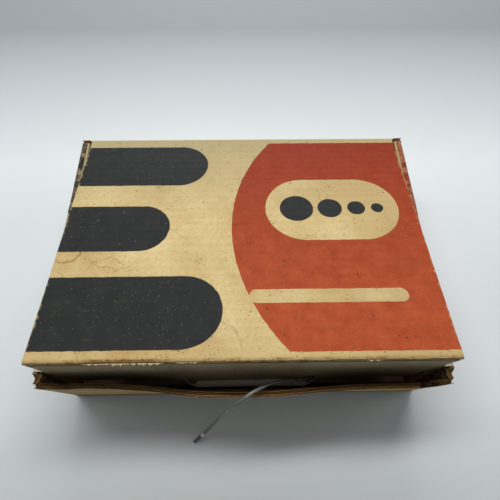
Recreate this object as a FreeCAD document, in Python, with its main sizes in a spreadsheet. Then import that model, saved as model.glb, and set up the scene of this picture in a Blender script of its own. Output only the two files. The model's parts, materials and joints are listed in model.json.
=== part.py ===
import FreeCAD, Part

import math
import os
import re

import Sketcher
from FreeCAD import Placement, Rotation, Vector

# Film editor viewer packed in its corrugated carton, lid sprung open. Millimetres.
# +X right, +Y to the back, +Z up. The origin is the middle of the carton's floor area, on the table.

SIZES = [
    ("carton_width", 330, "carton outside, left to right"),
    ("carton_depth", 238, "carton outside, front to back, at the table"),
    ("carton_height", 98, "carton outside, table to the top of the side walls"),
    ("board", 4, "thickness of the corrugated board"),
    ("board_gap", 0.3, "gap between two boards that only meet"),
    ("wall_slot", 0.6, "slot between the two layers of a rolled side wall"),
    ("ear_width", 8.5, "width of the back wall's ears beside the lid"),
    ("lid_side_gap", 1.75, "gap between the lid's end and the back wall's ear"),
    ("lid_overhang", 0.4, "how far the closed lid would pass the carton's front face"),
    ("lid_lift", 8.9, "degrees the lid stands open"),
    ("crease_radius", 2, "radius of the rolled crease at the lid's edges"),
    ("flap_drop", 80, "tuck flap, from the lid's front crease to its foot"),
    ("flap_tuck", 2, "degrees the tuck flap's foot leans in"),
    ("flap_side_relief", 2.75, "tuck flap's end, in from the lid's end"),
    ("flap_taper", 10, "tuck flap, how far each side comes in below its shoulder"),
    ("flap_shoulder", 30, "tuck flap, drop of the straight part of its sides"),
    ("handle_hole_radius", 5.5, "radius of the handle's two holes"),
    ("handle_hole_spacing", 98, "spacing of the handle's two holes"),
    ("handle_middle", 4.5, "middle of the handle, from the carton's middle"),
    ("handle_hole_drop", 62, "handle holes below the lid's front crease"),
    ("front_wall_wear", 1, "the front wall's top edge, below the side walls' tops"),
    ("front_wall_inset", 1.5, "front wall's ends, in from the side walls' outer faces"),
    ("lean_left_end", 6.5, "how far the front wall's top leans out at its left end"),
    ("lean_left", 8.5, "the same, half way to the left"),
    ("lean_middle", 17, "the same, in the middle"),
    ("lean_right", 11, "the same, half way to the right"),
    ("lean_right_end", 7.5, "the same, at the right end"),
    ("corner_ear_foot", 26, "foot of the torn corner ears"),
    ("corner_ear_reach", 3.4, "how far a torn corner ear stands out at its top"),
    ("corner_ear_waist", 2.04, "the same, lower down"),
    ("corner_ear_waist_height", 68.6, "where a torn corner ear narrows"),
    ("cord_radius", 1.25, "radius of the handle's cord"),
    ("barb_length", 20, "length of the cord's inner barb"),
    ("barb_width", 3.4, "height of the inner barb"),
    ("barb_thickness", 2.4, "thickness of the inner barb"),
    ("collar_radius", 1.9, "radius of the white collar on the cord's tip"),
    ("collar_length", 3, "length of the white collar"),
    ("tip_radius", 1.6, "radius of the dark crimped tip"),
    ("tip_length", 11, "length of the dark crimped tip"),
    ("side_pad_width", 12.6, "packing tubes beside the viewer"),
    ("side_pad_height", 22, "packing tubes beside the viewer"),
    ("side_pad_setback", 18, "packing tubes' front ends, behind the front of the viewer's base"),
    ("front_pad_depth", 26, "packing tube in front of the viewer"),
    ("front_pad_height", 26, "packing tube in front of the viewer"),
    ("front_pad_end_gap", 8.4, "packing tube in front of the viewer, gap at each end"),
    ("back_pad_height", 60, "packing pad behind the viewer"),
    ("back_pad_length", 220, "packing pad behind the viewer"),
    ("back_pad_thickness", 8.7, "packing pad behind the viewer"),
    ("packing_gap", 0.4, "gap round each packing piece"),
    ("packing_board", 3, "thickness of the packing pieces' board"),
    ("viewer_side_gap", 1.4, "gap between the viewer's base and the packing beside it"),
    ("viewer_front_gap", 4.6, "gap between the viewer's base and the packing in front of it"),
    ("base_front_margin", 4, "viewer's base ahead of the lamp house"),
    ("base_back_margin", 6, "viewer's base behind the housing"),
    ("base_round", 14, "radius of the base's corners"),
    ("deck_height", 10.8, "pressed deck, skirt foot to top"),
    ("deck_wall", 1.5, "sheet thickness of the pressed deck"),
    ("plate_thickness", 1.2, "base's bottom plate"),
    ("foot_height", 4, "rubber feet"),
    ("foot_radius", 8, "rubber feet"),
    ("foot_draft", 1.2, "rubber feet, how much smaller they are below"),
    ("foot_inset", 22, "rubber feet, in from the base's edges"),
    ("housing_width", 124, "viewer housing, left to right"),
    ("housing_height", 64, "housing above the deck"),
    ("housing_wall", 2, "housing's wall"),
    ("housing_round", 4, "radius of the housing's long edges"),
    ("cover_thickness", 1.5, "housing's back cover"),
    ("cover_inset", 1, "back cover, in from the housing's edge"),
    ("vent_width", 34, "vent slots in the back cover"),
    ("vent_height", 2.4, "vent slots in the back cover"),
    ("vent_pitch", 6, "vent slots in the back cover"),
    ("vent_count", 5, "vent slots in the back cover"),
    ("screw_radius", 1.5, "small screws, shank"),
    ("screw_head_radius", 3, "small screws, head"),
    ("screw_head_height", 1.6, "small screws, head"),
    ("screw_length", 5, "small screws, shank length"),
    ("screw_fit", 0.1, "clearance round a screw's shank"),
    ("screw_boss", 8, "bosses for the cover's screws"),
    ("cover_screw_inset", 6, "back cover screws, in from the housing's edges"),
    ("screen_width", 44, "viewing screen's window"),
    ("bezel_gap", 0.5, "screen's bezel to the roof of the hood, and above the hood's foot"),
    ("screen_sleeve_gap", 0.4, "viewing screen's foot above the lens sleeve"),
    ("screen_lap", 1.5, "how far the screen laps behind its window"),
    ("screen_thickness", 2, "ground screen"),
    ("bezel_width", 2.5, "screen's bezel"),
    ("bezel_thickness", 2, "screen's bezel"),
    ("hood_width", 70, "hood over the screen"),
    ("hood_wall", 2, "hood over the screen"),
    ("hood_reach", 27, "hood over the screen, at its top"),
    ("hood_foot_reach", 8, "hood over the screen, at its foot"),
    ("optic_rise", 13, "film and lens axis above the deck"),
    ("lens_radius", 8, "focusing lens barrel"),
    ("lens_length", 28, "focusing lens barrel"),
    ("lens_reach", 2.5, "lens barrel ahead of the housing"),
    ("lens_bore", 6, "inside the lens barrel"),
    ("lens_bevel", 0.6, "bevel round the lens barrel's front"),
    ("lens_glass", 4, "thickness of the projection lens"),
    ("lens_bulge", 1.2, "bulge of the projection lens's front"),
    ("lens_recess", 1, "projection lens behind the barrel's front"),
    ("slide_fit", 0.1, "clearance of a sliding or turning fit"),
    ("sleeve_wall", 2, "lens sleeve"),
    ("sleeve_length", 12, "lens sleeve"),
    ("focus_shaft_radius", 2.4, "focus shaft and its pinion"),
    ("focus_shaft_setback", 18, "focus shaft, behind the housing's front"),
    ("focus_knob_radius", 11, "focus knob"),
    ("focus_knob_length", 12, "focus knob"),
    ("focus_knob_bevel", 1.5, "focus knob, bevel of its face"),
    ("focus_knob_face", 2, "focus knob, thickness over the shaft's end"),
    ("focus_hub_radius", 7.7, "focus knob's hub, towards the housing"),
    ("focus_hub_length", 2, "focus knob's hub"),
    ("focus_knob_gap", 1.5, "focus knob to the housing's side"),
    ("mirror_width", 56, "mirror"),
    ("mirror_height", 38, "mirror"),
    ("mirror_thickness", 2.4, "mirror"),
    ("mirror_tilt", 8, "degrees the mirror leans back"),
    ("mirror_back_gap", 24, "mirror's foot, ahead of the housing's back"),
    ("bracket_width", 39.2, "mirror's bracket"),
    ("bracket_thickness", 2, "mirror's bracket"),
    ("bracket_height", 30, "mirror's bracket"),
    ("bracket_foot", 16, "mirror's bracket, its foot"),
    ("channel_width", 84, "film channel plate"),
    ("channel_depth", 26, "film channel plate"),
    ("channel_gap", 4, "film channel plate ahead of the housing"),
    ("channel_thickness", 3, "film channel plate"),
    ("film_width", 8, "film's width"),
    ("film_pitch", 3.81, "distance between two perforations"),
    ("sprocket_teeth", 12, "teeth of the sprocket"),
    ("sprocket_reach", 14, "sprocket's axis ahead of the housing"),
    ("sprocket_drum_height", 5, "sprocket's drum under the prism"),
    ("tooth_size", 1, "sprocket's teeth"),
    ("sprocket_shaft_radius", 2, "sprocket's stub shaft"),
    ("prism_radius", 6.6, "rotating prism, over its corners"),
    ("prism_height", 8, "rotating prism"),
    ("lever_ring_radius", 6, "framing lever's ring"),
    ("lever_thickness", 1.6, "framing lever"),
    ("lever_length", 24, "framing lever, ring to knob"),
    ("lever_width", 5, "framing lever"),
    ("lever_turn", 180, "framing lever's direction, in degrees from +X"),
    ("lever_knob_height", 5, "framing lever's knob"),
    ("lever_knob_radius", 3, "framing lever's knob"),
    ("roller_radius", 6, "guide rollers, where the film runs"),
    ("roller_flange_radius", 8, "guide rollers, flanges"),
    ("roller_flange", 1.5, "guide rollers, thickness of a flange"),
    ("roller_gap", 2, "guide rollers' flanges to the film channel plate's ends"),
    ("roller_post_radius", 1.6, "posts of the guide rollers"),
    ("post_shoulder_radius", 3.4, "posts' shoulders and heads"),
    ("post_head_height", 2, "posts' heads"),
    ("gate_width", 20, "pressure gate"),
    ("gate_thickness", 2, "pressure gate"),
    ("gate_film_gap", 1.5, "film's line to the gate's back face"),
    ("gate_side_gap", 0.3, "gate to each of the ears that carry its pin"),
    ("gate_hinge_rise", 24, "gate's hinge above the deck"),
    ("gate_foot_rise", 8, "gate's foot above the deck"),
    ("gate_pin_radius", 1.2, "gate's hinge pin"),
    ("gate_knuckle_radius", 2.4, "gate's knuckle"),
    ("gate_ear_thickness", 2.4, "ears that carry the gate's pin"),
    ("frame_window_width", 5, "film frame's window in the gate"),
    ("frame_window_height", 3.7, "film frame's window in the gate"),
    ("lamp_house_width", 32, "lamp house"),
    ("lamp_house_depth", 18, "lamp house"),
    ("lamp_house_height", 30, "lamp house"),
    ("lamp_reach", 42, "lamp house's back face ahead of the housing"),
    ("lamp_house_wall", 1.5, "lamp house"),
    ("condenser_radius", 6, "condenser lens"),
    ("condenser_thickness", 3.5, "condenser lens"),
    ("lamp_radius", 6, "lamp's bulb"),
    ("lamp_base_radius", 4.5, "lamp's cap"),
    ("lamp_base_height", 8, "lamp's cap"),
    ("socket_height", 6, "lamp socket"),
    ("socket_wall", 1.5, "lamp socket"),
    ("switch_side_gap", 34, "switch, right of the housing's side"),
    ("switch_reach", 38, "switch, ahead of the housing"),
    ("switch_radius", 7, "switch's nut"),
    ("switch_height", 4, "switch's nut"),
    ("toggle_radius", 2.2, "switch's toggle, at its tip"),
    ("toggle_foot_radius", 1.3, "switch's toggle, where it leaves its ball"),
    ("toggle_ball_radius", 2.6, "ball that the toggle tilts on"),
    ("toggle_length", 13, "switch's toggle, from the deck to its tip"),
    ("inlet_bore", 2.2, "cord inlet, its bore"),
    ("inlet_wall", 1.2, "cord inlet, wall of its neck"),
    ("inlet_lip", 0.8, "cord inlet, its lips over the neck"),
    ("inlet_x", 50, "cord inlet, left of the middle"),
    ("inlet_length", 3.6, "cord inlet"),
    ("arm_bracket_gap", 1, "arm bracket to the housing's side"),
    ("arm_pivot_rise", 14, "arm's pivot above the deck"),
    ("arm_setback", 73.3, "middle of the arms' thickness, behind the housing's front"),
    ("arm_thickness", 6, "reel arms"),
    ("arm_width", 14, "reel arms"),
    ("arm_span", 46, "arm, pivot to spindle, along X"),
    ("arm_climb", 20, "arm, pivot to spindle, along Z"),
    ("arm_pin_radius", 3, "arm's pivot pin"),
    ("arm_side_gap", 0.3, "arm to each cheek of its bracket"),
    ("cheek_thickness", 3, "arm bracket's cheeks"),
    ("arm_bracket_width", 18, "arm bracket"),
    ("arm_bracket_foot", 3, "arm bracket's foot"),
    ("pin_head", 1.5, "thickness of a pin's head"),
    ("spindle_radius", 4, "reel spindle"),
    ("spindle_reach", 26, "reel spindle behind the arm"),
    ("spindle_bevel", 1.3, "bevel of the spindle's tip"),
    ("spindle_flange_radius", 9, "reel seat on the spindle"),
    ("spindle_flange", 2, "reel seat on the spindle"),
    ("crank_throw", 26, "crank, spindle to knob"),
    ("crank_width", 9, "crank"),
    ("crank_thickness", 3.5, "crank"),
    ("crank_gap", 5, "crank to the arm"),
    ("crank_pin_radius", 1.8, "crank's knob pin"),
    ("crank_knob_radius", 5.5, "crank's knob"),
    ("crank_knob_length", 20, "crank's knob"),
    ("crank_knob_gap", 0.3, "crank's knob, end play"),
]

doc = FreeCAD.newDocument("viewer_in_carton")
sizes = doc.addObject("Spreadsheet::Sheet", "sizes")
for row, (alias, value, note) in enumerate(SIZES, 1):
    sizes.set(f"A{row}", note)
    sizes.set(f"B{row}", str(value))
    sizes.setAlias(f"B{row}", alias)
doc.recompute()

ALIASES = {alias for alias, value, note in SIZES}
TURNS = {
    "Z": Rotation(),
    "X": Rotation(Vector(0, 1, 0), 90),
    "Y": Rotation(Vector(1, 0, 0), -90),
    "-Y": Rotation(Vector(1, 0, 0), 90),
}
sub_parts = []


def bound(expression):
    """The expression with each size's name led by the sheet's name."""

    def lead(word):
        return "sizes." + word[0] if word[0] in ALIASES else word[0]

    return re.sub(r"[a-z][a-z_]*", lead, str(expression))


def bind(piece, name, expression):
    piece.setExpression(name, bound(expression))


def seat(piece, x, y, z):
    """Bind the place of a piece."""
    for letter, expression in zip("xyz", (x, y, z)):
        bind(piece, f"Placement.Base.{letter}", expression)


def sub_part(name, piece):
    """Name a finished sub-part, which is written to its own file."""
    piece.Label = name
    sub_parts.append(piece)
    return piece


def box(name, width, depth, height, x, y, z):
    """A block from its lowest corner."""
    piece = doc.addObject("Part::Box", name)
    bind(piece, "Length", width)
    bind(piece, "Width", depth)
    bind(piece, "Height", height)
    seat(piece, x, y, z)
    return piece


def rod(name, radius, length, x, y, z, along="Z"):
    """A round bar that starts at the point and runs along an axis."""
    piece = doc.addObject("Part::Cylinder", name)
    piece.Placement = Placement(Vector(), TURNS[along])
    bind(piece, "Radius", radius)
    bind(piece, "Height", length)
    seat(piece, x, y, z)
    return piece


def taper(name, foot_radius, top_radius, length, x, y, z, along="Z"):
    """A cone that starts at the point and runs along an axis."""
    piece = doc.addObject("Part::Cone", name)
    piece.Placement = Placement(Vector(), TURNS[along])
    bind(piece, "Radius1", foot_radius)
    bind(piece, "Radius2", top_radius)
    bind(piece, "Height", length)
    seat(piece, x, y, z)
    return piece


def join(name, *pieces):
    piece = doc.addObject("Part::MultiFuse", name)
    piece.Shapes = list(pieces)
    piece.Refine = True
    return piece


def group(name, *pieces):
    """Separate like solids that share one node."""
    piece = doc.addObject("Part::Compound", name)
    piece.Links = list(pieces)
    return piece


def cut(name, base, *tools):
    tool = tools[0] if len(tools) == 1 else group(name + "_tools", *tools)
    piece = doc.addObject("Part::Cut", name)
    piece.Base = base
    piece.Tool = tool
    return piece


def new_body(name, x=0, y=0, z=0, turn=None):
    body = doc.addObject("PartDesign::Body", name)
    body.Placement = Placement(Vector(), turn or Rotation())
    seat(body, x, y, z)
    return body


def new_sketch(body, plane, name):
    sketch = body.newObject("Sketcher::SketchObject", name)
    support = next(item for item in body.Origin.OriginFeatures if item.Role == plane)
    sketch.AttachmentSupport = (support, [""])
    sketch.MapMode = "FlatFace"
    return sketch


def dimension(sketch, kind, geometry, point, expression, start):
    """Dimension a point from the sketch's origin."""
    number = sketch.addConstraint(Sketcher.Constraint(kind, -1, 1, geometry, point, start))
    bind(sketch, f"Constraints[{number}]", expression)


def draw_outline(sketch, corners):
    """A closed outline whose corners are each dimensioned from the origin.

    It is drawn as an even ring first, which the dimensions then pull into shape.
    """
    count = len(corners)
    first = sketch.GeometryCount
    ring = [Rotation(Vector(0, 0, 1), 360 * i / count).multVec(Vector(count, 0, 0)) for i in range(count)]
    for i in range(count):
        sketch.addGeometry(Part.LineSegment(ring[i], ring[(i + 1) % count]), False)
    for i in range(count):
        sketch.addConstraint(Sketcher.Constraint("Coincident", first + i, 2, first + (i + 1) % count, 1))
    for i, (u, v) in enumerate(corners):
        dimension(sketch, "DistanceX", first + i, 1, u, ring[i].x)
        dimension(sketch, "DistanceY", first + i, 1, v, ring[i].y)


def draw_circle(sketch, radius, u=0, v=0):
    number = sketch.addGeometry(Part.Circle(Vector(1, 1, 0), Vector(0, 0, 1), 1), False)
    dimension(sketch, "DistanceX", number, 3, u, 1)
    dimension(sketch, "DistanceY", number, 3, v, 1)
    held = sketch.addConstraint(Sketcher.Constraint("Radius", number, 1))
    bind(sketch, f"Constraints[{held}]", radius)


def pad(body, sketch, length, backward=False):
    feature = body.newObject("PartDesign::Pad", sketch.Name + "_pad")
    feature.Profile = sketch
    feature.Reversed = backward
    bind(feature, "Length", length)
    sketch.Visibility = False
    return feature


def revolve(body, sketch):
    """Turn a half section round the sketch's upright axis."""
    feature = body.newObject("PartDesign::Revolution", sketch.Name + "_turned")
    feature.Profile = sketch
    feature.ReferenceAxis = (sketch, ["V_Axis"])
    feature.Angle = 360
    return feature


def round_edges(body, feature, radius, chosen):
    doc.recompute()
    names = [f"Edge{i}" for i, edge in enumerate(feature.Shape.Edges, 1) if chosen(edge)]
    rounded = body.newObject("PartDesign::Fillet", feature.Name + "_rounded")
    rounded.Base = (feature, names)
    bind(rounded, "Radius", radius)
    return rounded


def runs_along(axis):
    """A test for straight edges parallel to an axis."""
    return lambda edge: isinstance(edge.Curve, Part.Line) and abs(edge.Curve.Direction.dot(axis)) > 0.999


def turned(name, x, y, z, along, corners):
    """A turned piece: half section corners are (radius, height) from the point."""
    body = new_body(name, x, y, z, TURNS[along])
    sketch = new_sketch(body, "XZ_Plane", name + "_section")
    draw_outline(sketch, corners)
    revolve(body, sketch)
    return body


# Heights over the table, from the carton's bottom up
PLATE = "(board + foot_height)"
SKIRT = f"({PLATE} + plate_thickness)"
DECK = f"({SKIRT} + deck_height)"
OPTIC = f"({DECK} + optic_rise)"
HOUSING_TOP = f"({DECK} + housing_height)"

# Widths from the carton's sides in to the viewer's base, and from its housing out to the spindles
SIDE = "(2 * board + wall_slot)"
HALF = "(carton_width / 2)"
INSIDE = f"({HALF} - {SIDE})"
BASE_HALF = f"({INSIDE} - packing_gap - side_pad_width - viewer_side_gap)"
PIVOT_X = "(housing_width / 2 + arm_bracket_gap + arm_bracket_width / 2)"
SPINDLE_X = f"({PIVOT_X} + arm_span)"

# Depths from the carton's front and back in to the base, and then to the housing on it
FRONT = "(-carton_depth / 2)"
BACK = "(carton_depth / 2)"
BASE_FRONT = f"({FRONT} + board + packing_gap + front_pad_depth + viewer_front_gap)"
BASE_BACK = f"({BACK} - board - packing_gap - back_pad_thickness - packing_gap - cover_thickness)"
BASE_DEPTH = f"({BASE_BACK} - {BASE_FRONT})"
HOUSING_FRONT = f"({BASE_FRONT} + base_front_margin + lamp_house_depth + lamp_reach)"
HOUSING_BACK = f"({BASE_BACK} - base_back_margin)"
HOUSING_DEPTH = f"({HOUSING_BACK} - {HOUSING_FRONT})"

# Lid and tuck flap
LID_HALF = f"({HALF} - ear_width - lid_side_gap)"
HINGE_Y = f"({BACK} - board / 2)"
HINGE_Z = "(carton_height - board / 2)"
CREASE_REACH = f"({HINGE_Y} - {FRONT} + lid_overhang - crease_radius)"
FRONT_CREASE_Y = f"({HINGE_Y} - {CREASE_REACH} * cos(lid_lift))"
FRONT_CREASE_Z = f"({HINGE_Z} + {CREASE_REACH} * sin(lid_lift))"


def measure(expression):
    """An expression's value in millimetres."""
    return float(sizes.evalExpression(bound(expression)))


def carton_bottom():
    sub_part("carton_bottom", box("bottom", "carton_width", "carton_depth", "board", f"-{HALF}", FRONT, 0))


def carton_back_wall():
    """The back wall: low under the lid's crease, with an ear beside each end of the lid."""
    body = new_body("back_wall", 0, BACK)
    sketch = new_sketch(body, "XZ_Plane", "back_wall_outline")
    low = f"({HINGE_Z} - crease_radius - board_gap)"
    step = f"({HALF} - ear_width)"
    draw_outline(sketch, [
        (f"-{HALF}", "board"), (HALF, "board"), (HALF, "carton_height"), (step, "carton_height"),
        (step, low), (f"-{step}", low), (f"-{step}", "carton_height"), (f"-{HALF}", "carton_height"),
    ])
    pad(body, sketch, "board")
    sub_part("carton_back_wall", body)


def carton_side_wall(name, outer):
    """A rolled side wall: two layers joined over the top, with the slot between them open below."""
    body = new_body(name + "_board", 0, f"{BACK} - board")
    sketch = new_sketch(body, "XZ_Plane", name + "_outline")
    sign = "-" if outer < 0 else ""

    def across(depth):
        return f"{sign}({HALF} - {depth})"

    inner_layer = across("(board + wall_slot)")
    slot_top = "(carton_height - board)"
    draw_outline(sketch, [
        (across("0"), "board"), (across("0"), "carton_height"), (across(SIDE), "carton_height"),
        (across(SIDE), "board"), (inner_layer, "board"), (inner_layer, slot_top),
        (across("board"), slot_top), (across("board"), "board"),
    ])
    wall = pad(body, sketch, "carton_depth - 2 * board - board_gap")
    round_edges(body, wall, "board / 2", on_the_rolled_top)
    sub_part(name, body)


def on_the_rolled_top(edge):
    """The long edges on top of a side wall."""
    along = runs_along(Vector(0, 1, 0))(edge)
    return along and edge.CenterOfMass.z > measure("carton_height - board / 4")


def front_wall_ring(height, leans):
    """One closed outline of the front wall: its outer curve, its inner curve and two ends."""
    half = measure(f"{HALF} - front_wall_inset")
    stations = [half * share for share in (-1, -0.55, 0, 0.55, 1)]
    outer_y = [measure(FRONT) - lean for lean in leans]
    outer = Part.BSplineCurve()
    outer.interpolate([Vector(x, y, height) for x, y in zip(stations, outer_y)])
    inner = Part.BSplineCurve()
    inner.interpolate([Vector(x, y + sizes.board, height) for x, y in zip(stations, outer_y)][::-1])
    right = Part.LineSegment(outer.EndPoint, inner.StartPoint)
    left = Part.LineSegment(inner.EndPoint, outer.StartPoint)
    return Part.Wire([curve.toShape() for curve in (outer, right, inner, left)])


def carton_front_wall():
    """The front wall: straight at the table, bowed and leaning out along its torn top."""
    names = ("left_end", "left", "middle", "right", "right_end")
    leans = [getattr(sizes, "lean_" + name) for name in names]
    foot = front_wall_ring(sizes.board, [0] * len(leans))
    top = front_wall_ring(measure("carton_height - front_wall_wear"), leans)
    wall = doc.addObject("Part::Feature", "front_wall")
    wall.Shape = Part.makeLoft([foot, top], True, True)
    sub_part("carton_front_wall", wall)


def carton_corner_ears():
    """The torn glue flaps that still stand out of the side walls behind the front wall."""
    ears = []
    for side, x in (("left", f"-{HALF} + front_wall_inset"), ("right", f"{HALF} - front_wall_inset - board")):
        ear = new_body(side + "_ear", x, f"{FRONT} + board")
        sketch = new_sketch(ear, "YZ_Plane", side + "_ear_outline")
        draw_outline(sketch, [
            (0, "corner_ear_foot"), (0, "carton_height - board_gap"), ("-corner_ear_reach", "carton_height - board"),
            ("-corner_ear_waist", "corner_ear_waist_height"),
        ])
        pad(ear, sketch, "board")
        ears.append(ear)
    sub_part("carton_corner_ears", group("corner_ears", *ears))


def lid_panel():
    """The lid: a flat panel with a rolled crease at the hinge and at the front, turned up by its lift."""
    width = f"2 * {LID_HALF}"
    left = f"-{LID_HALF}"
    panel = box("lid_board", width, CREASE_REACH, "board", left, f"-{CREASE_REACH}", "-board / 2")
    back = rod("lid_back_crease", "crease_radius", width, left, 0, 0, "X")
    front = rod("lid_front_crease", "crease_radius", width, left, f"-{CREASE_REACH}", 0, "X")
    lid = join("lid", panel, back, front)
    lid.Placement = Placement(Vector(), Rotation(Vector(-1, 0, 0), sizes.lid_lift))
    bind(lid, "Placement.Rotation.Angle", "lid_lift * 1 deg")
    seat(lid, 0, HINGE_Y, HINGE_Z)
    sub_part("lid_panel", lid)


def lid_tuck_flap():
    """The tuck flap hangs from the lid's front crease, with the handle's two holes in it."""
    body = new_body("tuck_flap", 0, f"{FRONT_CREASE_Y} + board / 2 * cos(flap_tuck)",
                    f"{FRONT_CREASE_Z} + board / 2 * sin(flap_tuck)", Rotation(Vector(1, 0, 0), sizes.flap_tuck))
    bind(body, "Placement.Rotation.Angle", "flap_tuck * 1 deg")
    sketch = new_sketch(body, "XZ_Plane", "tuck_flap_outline")
    head = "(-crease_radius - board_gap)"
    top = f"({LID_HALF} - flap_side_relief)"
    foot = f"({top} - flap_taper)"
    draw_outline(sketch, [
        (f"-{top}", head), (f"-{top}", "-flap_shoulder"), (f"-{foot}", "-flap_drop"),
        (foot, "-flap_drop"), (top, "-flap_shoulder"), (top, head),
    ])
    for side in ("-", "+"):
        middle = f"handle_middle {side} handle_hole_spacing / 2"
        draw_circle(sketch, "handle_hole_radius", middle, "-handle_hole_drop")
    flap = pad(body, sketch, "board")
    round_edges(body, flap, "board * 0.49", on_the_flap_head)
    sub_part("lid_tuck_flap", body)


def on_the_flap_head(edge):
    """The two long edges at the head of the flap, in the body's own frame."""
    along = runs_along(Vector(1, 0, 0))(edge)
    return along and edge.CenterOfMass.z > -sizes.flap_shoulder / 2


# The handle's cord, from its barb behind the flap, over the front wall and down to the table.
# The points were chosen by hand; the first lies just inside the barb's front face.
CORD_ROUTE = [
    (53.5, -109.9, 70.2), (53.5, -114.4, 70.4), (52.0, -118.0, 71.8), (47.6, -120.0, 75.0),
    (39.0, -120.8, 81.0), (24.5, -123.3, 91.5), (13.0, -128.5, 100.8), (3.5, -133.8, 104.4),
    (-5.0, -139.2, 99.5), (-12.0, -142.2, 86.0), (-18.0, -144.4, 66.0), (-24.4, -147.0, 44.0),
    (-28.6, -149.0, 30.5), (-31.6, -150.6, 19.5), (-34.4, -152.2, 12.8), (-38.6, -155.2, 9.2),
]
ARC_SHARE = 0.45


def rounded_path(points):
    """Straight runs joined by tangent arcs, each as large as its two runs allow."""
    edges = []
    radii = []
    start = points[0]
    for before, corner, after in zip(points, points[1:], points[2:]):
        arrive = (corner - before).normalize()
        leave = (after - corner).normalize()
        reach = ARC_SHARE * min((corner - before).Length, (after - corner).Length)
        half_turn = arrive.getAngle(leave) / 2
        radii.append(reach / math.tan(half_turn))
        enter = corner - arrive * reach
        depart = corner + leave * reach
        inward = (leave - arrive).normalize()
        middle = corner + inward * (radii[-1] / math.cos(half_turn) - radii[-1])
        edges.append(Part.LineSegment(start, enter).toShape())
        edges.append(Part.Arc(enter, middle, depart).toShape())
        start = depart
    edges.append(Part.LineSegment(start, points[-1]).toShape())
    print("cord radii", [round(radius, 1) for radius in radii])
    return Part.Wire(edges)


def handle_cord():
    """The cord, its inner barb, and the collar and crimped tip on its loose end."""
    points = [Vector(*point) for point in CORD_ROUTE]
    path = rounded_path(points)
    ring = Part.Wire(Part.Circle(points[0], points[1] - points[0], sizes.cord_radius).toShape())
    cord = doc.addObject("Part::Feature", "cord")
    cord.Shape = path.makePipeShell([ring], True, False)
    expected = math.pi * sizes.cord_radius ** 2 * path.Length
    print("cord length", round(path.Length, 1), "volume over section times length",
          round(cord.Shape.Volume / expected, 4))
    sub_part("handle_cord", cord)

    leave = (points[-1] - points[-2]).normalize()
    collar = doc.addObject("Part::Cylinder", "collar")
    collar.Placement = Placement(points[-1], Rotation(Vector(0, 0, 1), leave))
    bind(collar, "Radius", "collar_radius")
    bind(collar, "Height", "collar_length")
    sub_part("handle_tip_collar", collar)
    tip = doc.addObject("Part::Cone", "tip")
    tip.Placement = Placement(points[-1] + leave * sizes.collar_length, Rotation(Vector(0, 0, 1), leave))
    bind(tip, "Radius1", "tip_radius")
    bind(tip, "Radius2", "tip_radius * 0.7")
    bind(tip, "Height", "tip_length")
    sub_part("handle_tip", tip)


def handle_inner_barb():
    """The flat barb on the cord's inner end, behind the right handle hole."""
    middle = "(handle_middle + handle_hole_spacing / 2)"
    height = f"({FRONT_CREASE_Z} - handle_hole_drop * cos(flap_tuck))"
    face = f"({FRONT_CREASE_Y} + handle_hole_drop * sin(flap_tuck) + board / 2 + board_gap)"
    bar = box("barb_bar", "barb_length", "barb_thickness", "barb_width",
              f"{middle} - barb_length / 2", face, f"{height} - barb_width / 2")
    sub_part("handle_inner_barb", bar)


def packing():
    """Folded board tubes that keep the viewer from sliding in the carton."""
    length = f"({BASE_DEPTH} - side_pad_setback)"
    for side, x in (("left", f"-{INSIDE} + packing_gap"), ("right", f"{INSIDE} - packing_gap - side_pad_width")):
        tube = box(side + "_tube", "side_pad_width", length, "side_pad_height", x, f"{BASE_BACK} - {length}", "board")
        hollow = box(side + "_tube_hollow", "side_pad_width - 2 * packing_board", f"3 * {length}",
                     "side_pad_height - 2 * packing_board", f"{x} + packing_board",
                     f"{BASE_BACK} - 2 * {length}", "board + packing_board")
        sub_part("packing_tube_" + side, cut(side + "_packing", tube, hollow))
    front_y = f"({FRONT} + board + packing_gap)"
    half = f"({INSIDE} - front_pad_end_gap)"
    tube = box("front_tube", f"2 * {half}", "front_pad_depth", "front_pad_height", f"-{half}", front_y, "board")
    hollow = box("front_tube_hollow", f"4 * {half}", "front_pad_depth - 2 * packing_board",
                 "front_pad_height - 2 * packing_board", f"-2 * {half}", f"{front_y} + packing_board",
                 "board + packing_board")
    sub_part("packing_tube_front", cut("front_packing", tube, hollow))
    pad_y = f"({BACK} - board - packing_gap - back_pad_thickness)"
    sub_part("packing_pad_back", box("back_pad", "back_pad_length", "back_pad_thickness", "back_pad_height",
                                     "-back_pad_length / 2", pad_y, "board"))


# Film path
CHANNEL_TOP = f"({DECK} + channel_thickness)"
SPROCKET_Y = f"({HOUSING_FRONT} - sprocket_reach)"
SPROCKET_RADIUS = "(sprocket_teeth * film_pitch / (2 * pi))"
FILM_Y = f"({SPROCKET_Y} - {SPROCKET_RADIUS})"
FILM_FOOT = f"({OPTIC} - film_width / 2)"


def rounded_block(name, width, depth, height, x, y, z, radius):
    """A block with rounded upright edges, from its lowest corner."""
    body = new_body(name, x, y, z)
    sketch = new_sketch(body, "XY_Plane", name + "_outline")
    draw_outline(sketch, [(0, 0), (width, 0), (width, depth), (0, depth)])
    block = pad(body, sketch, height)
    round_edges(body, block, radius, runs_along(Vector(0, 0, 1)))
    return body


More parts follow.
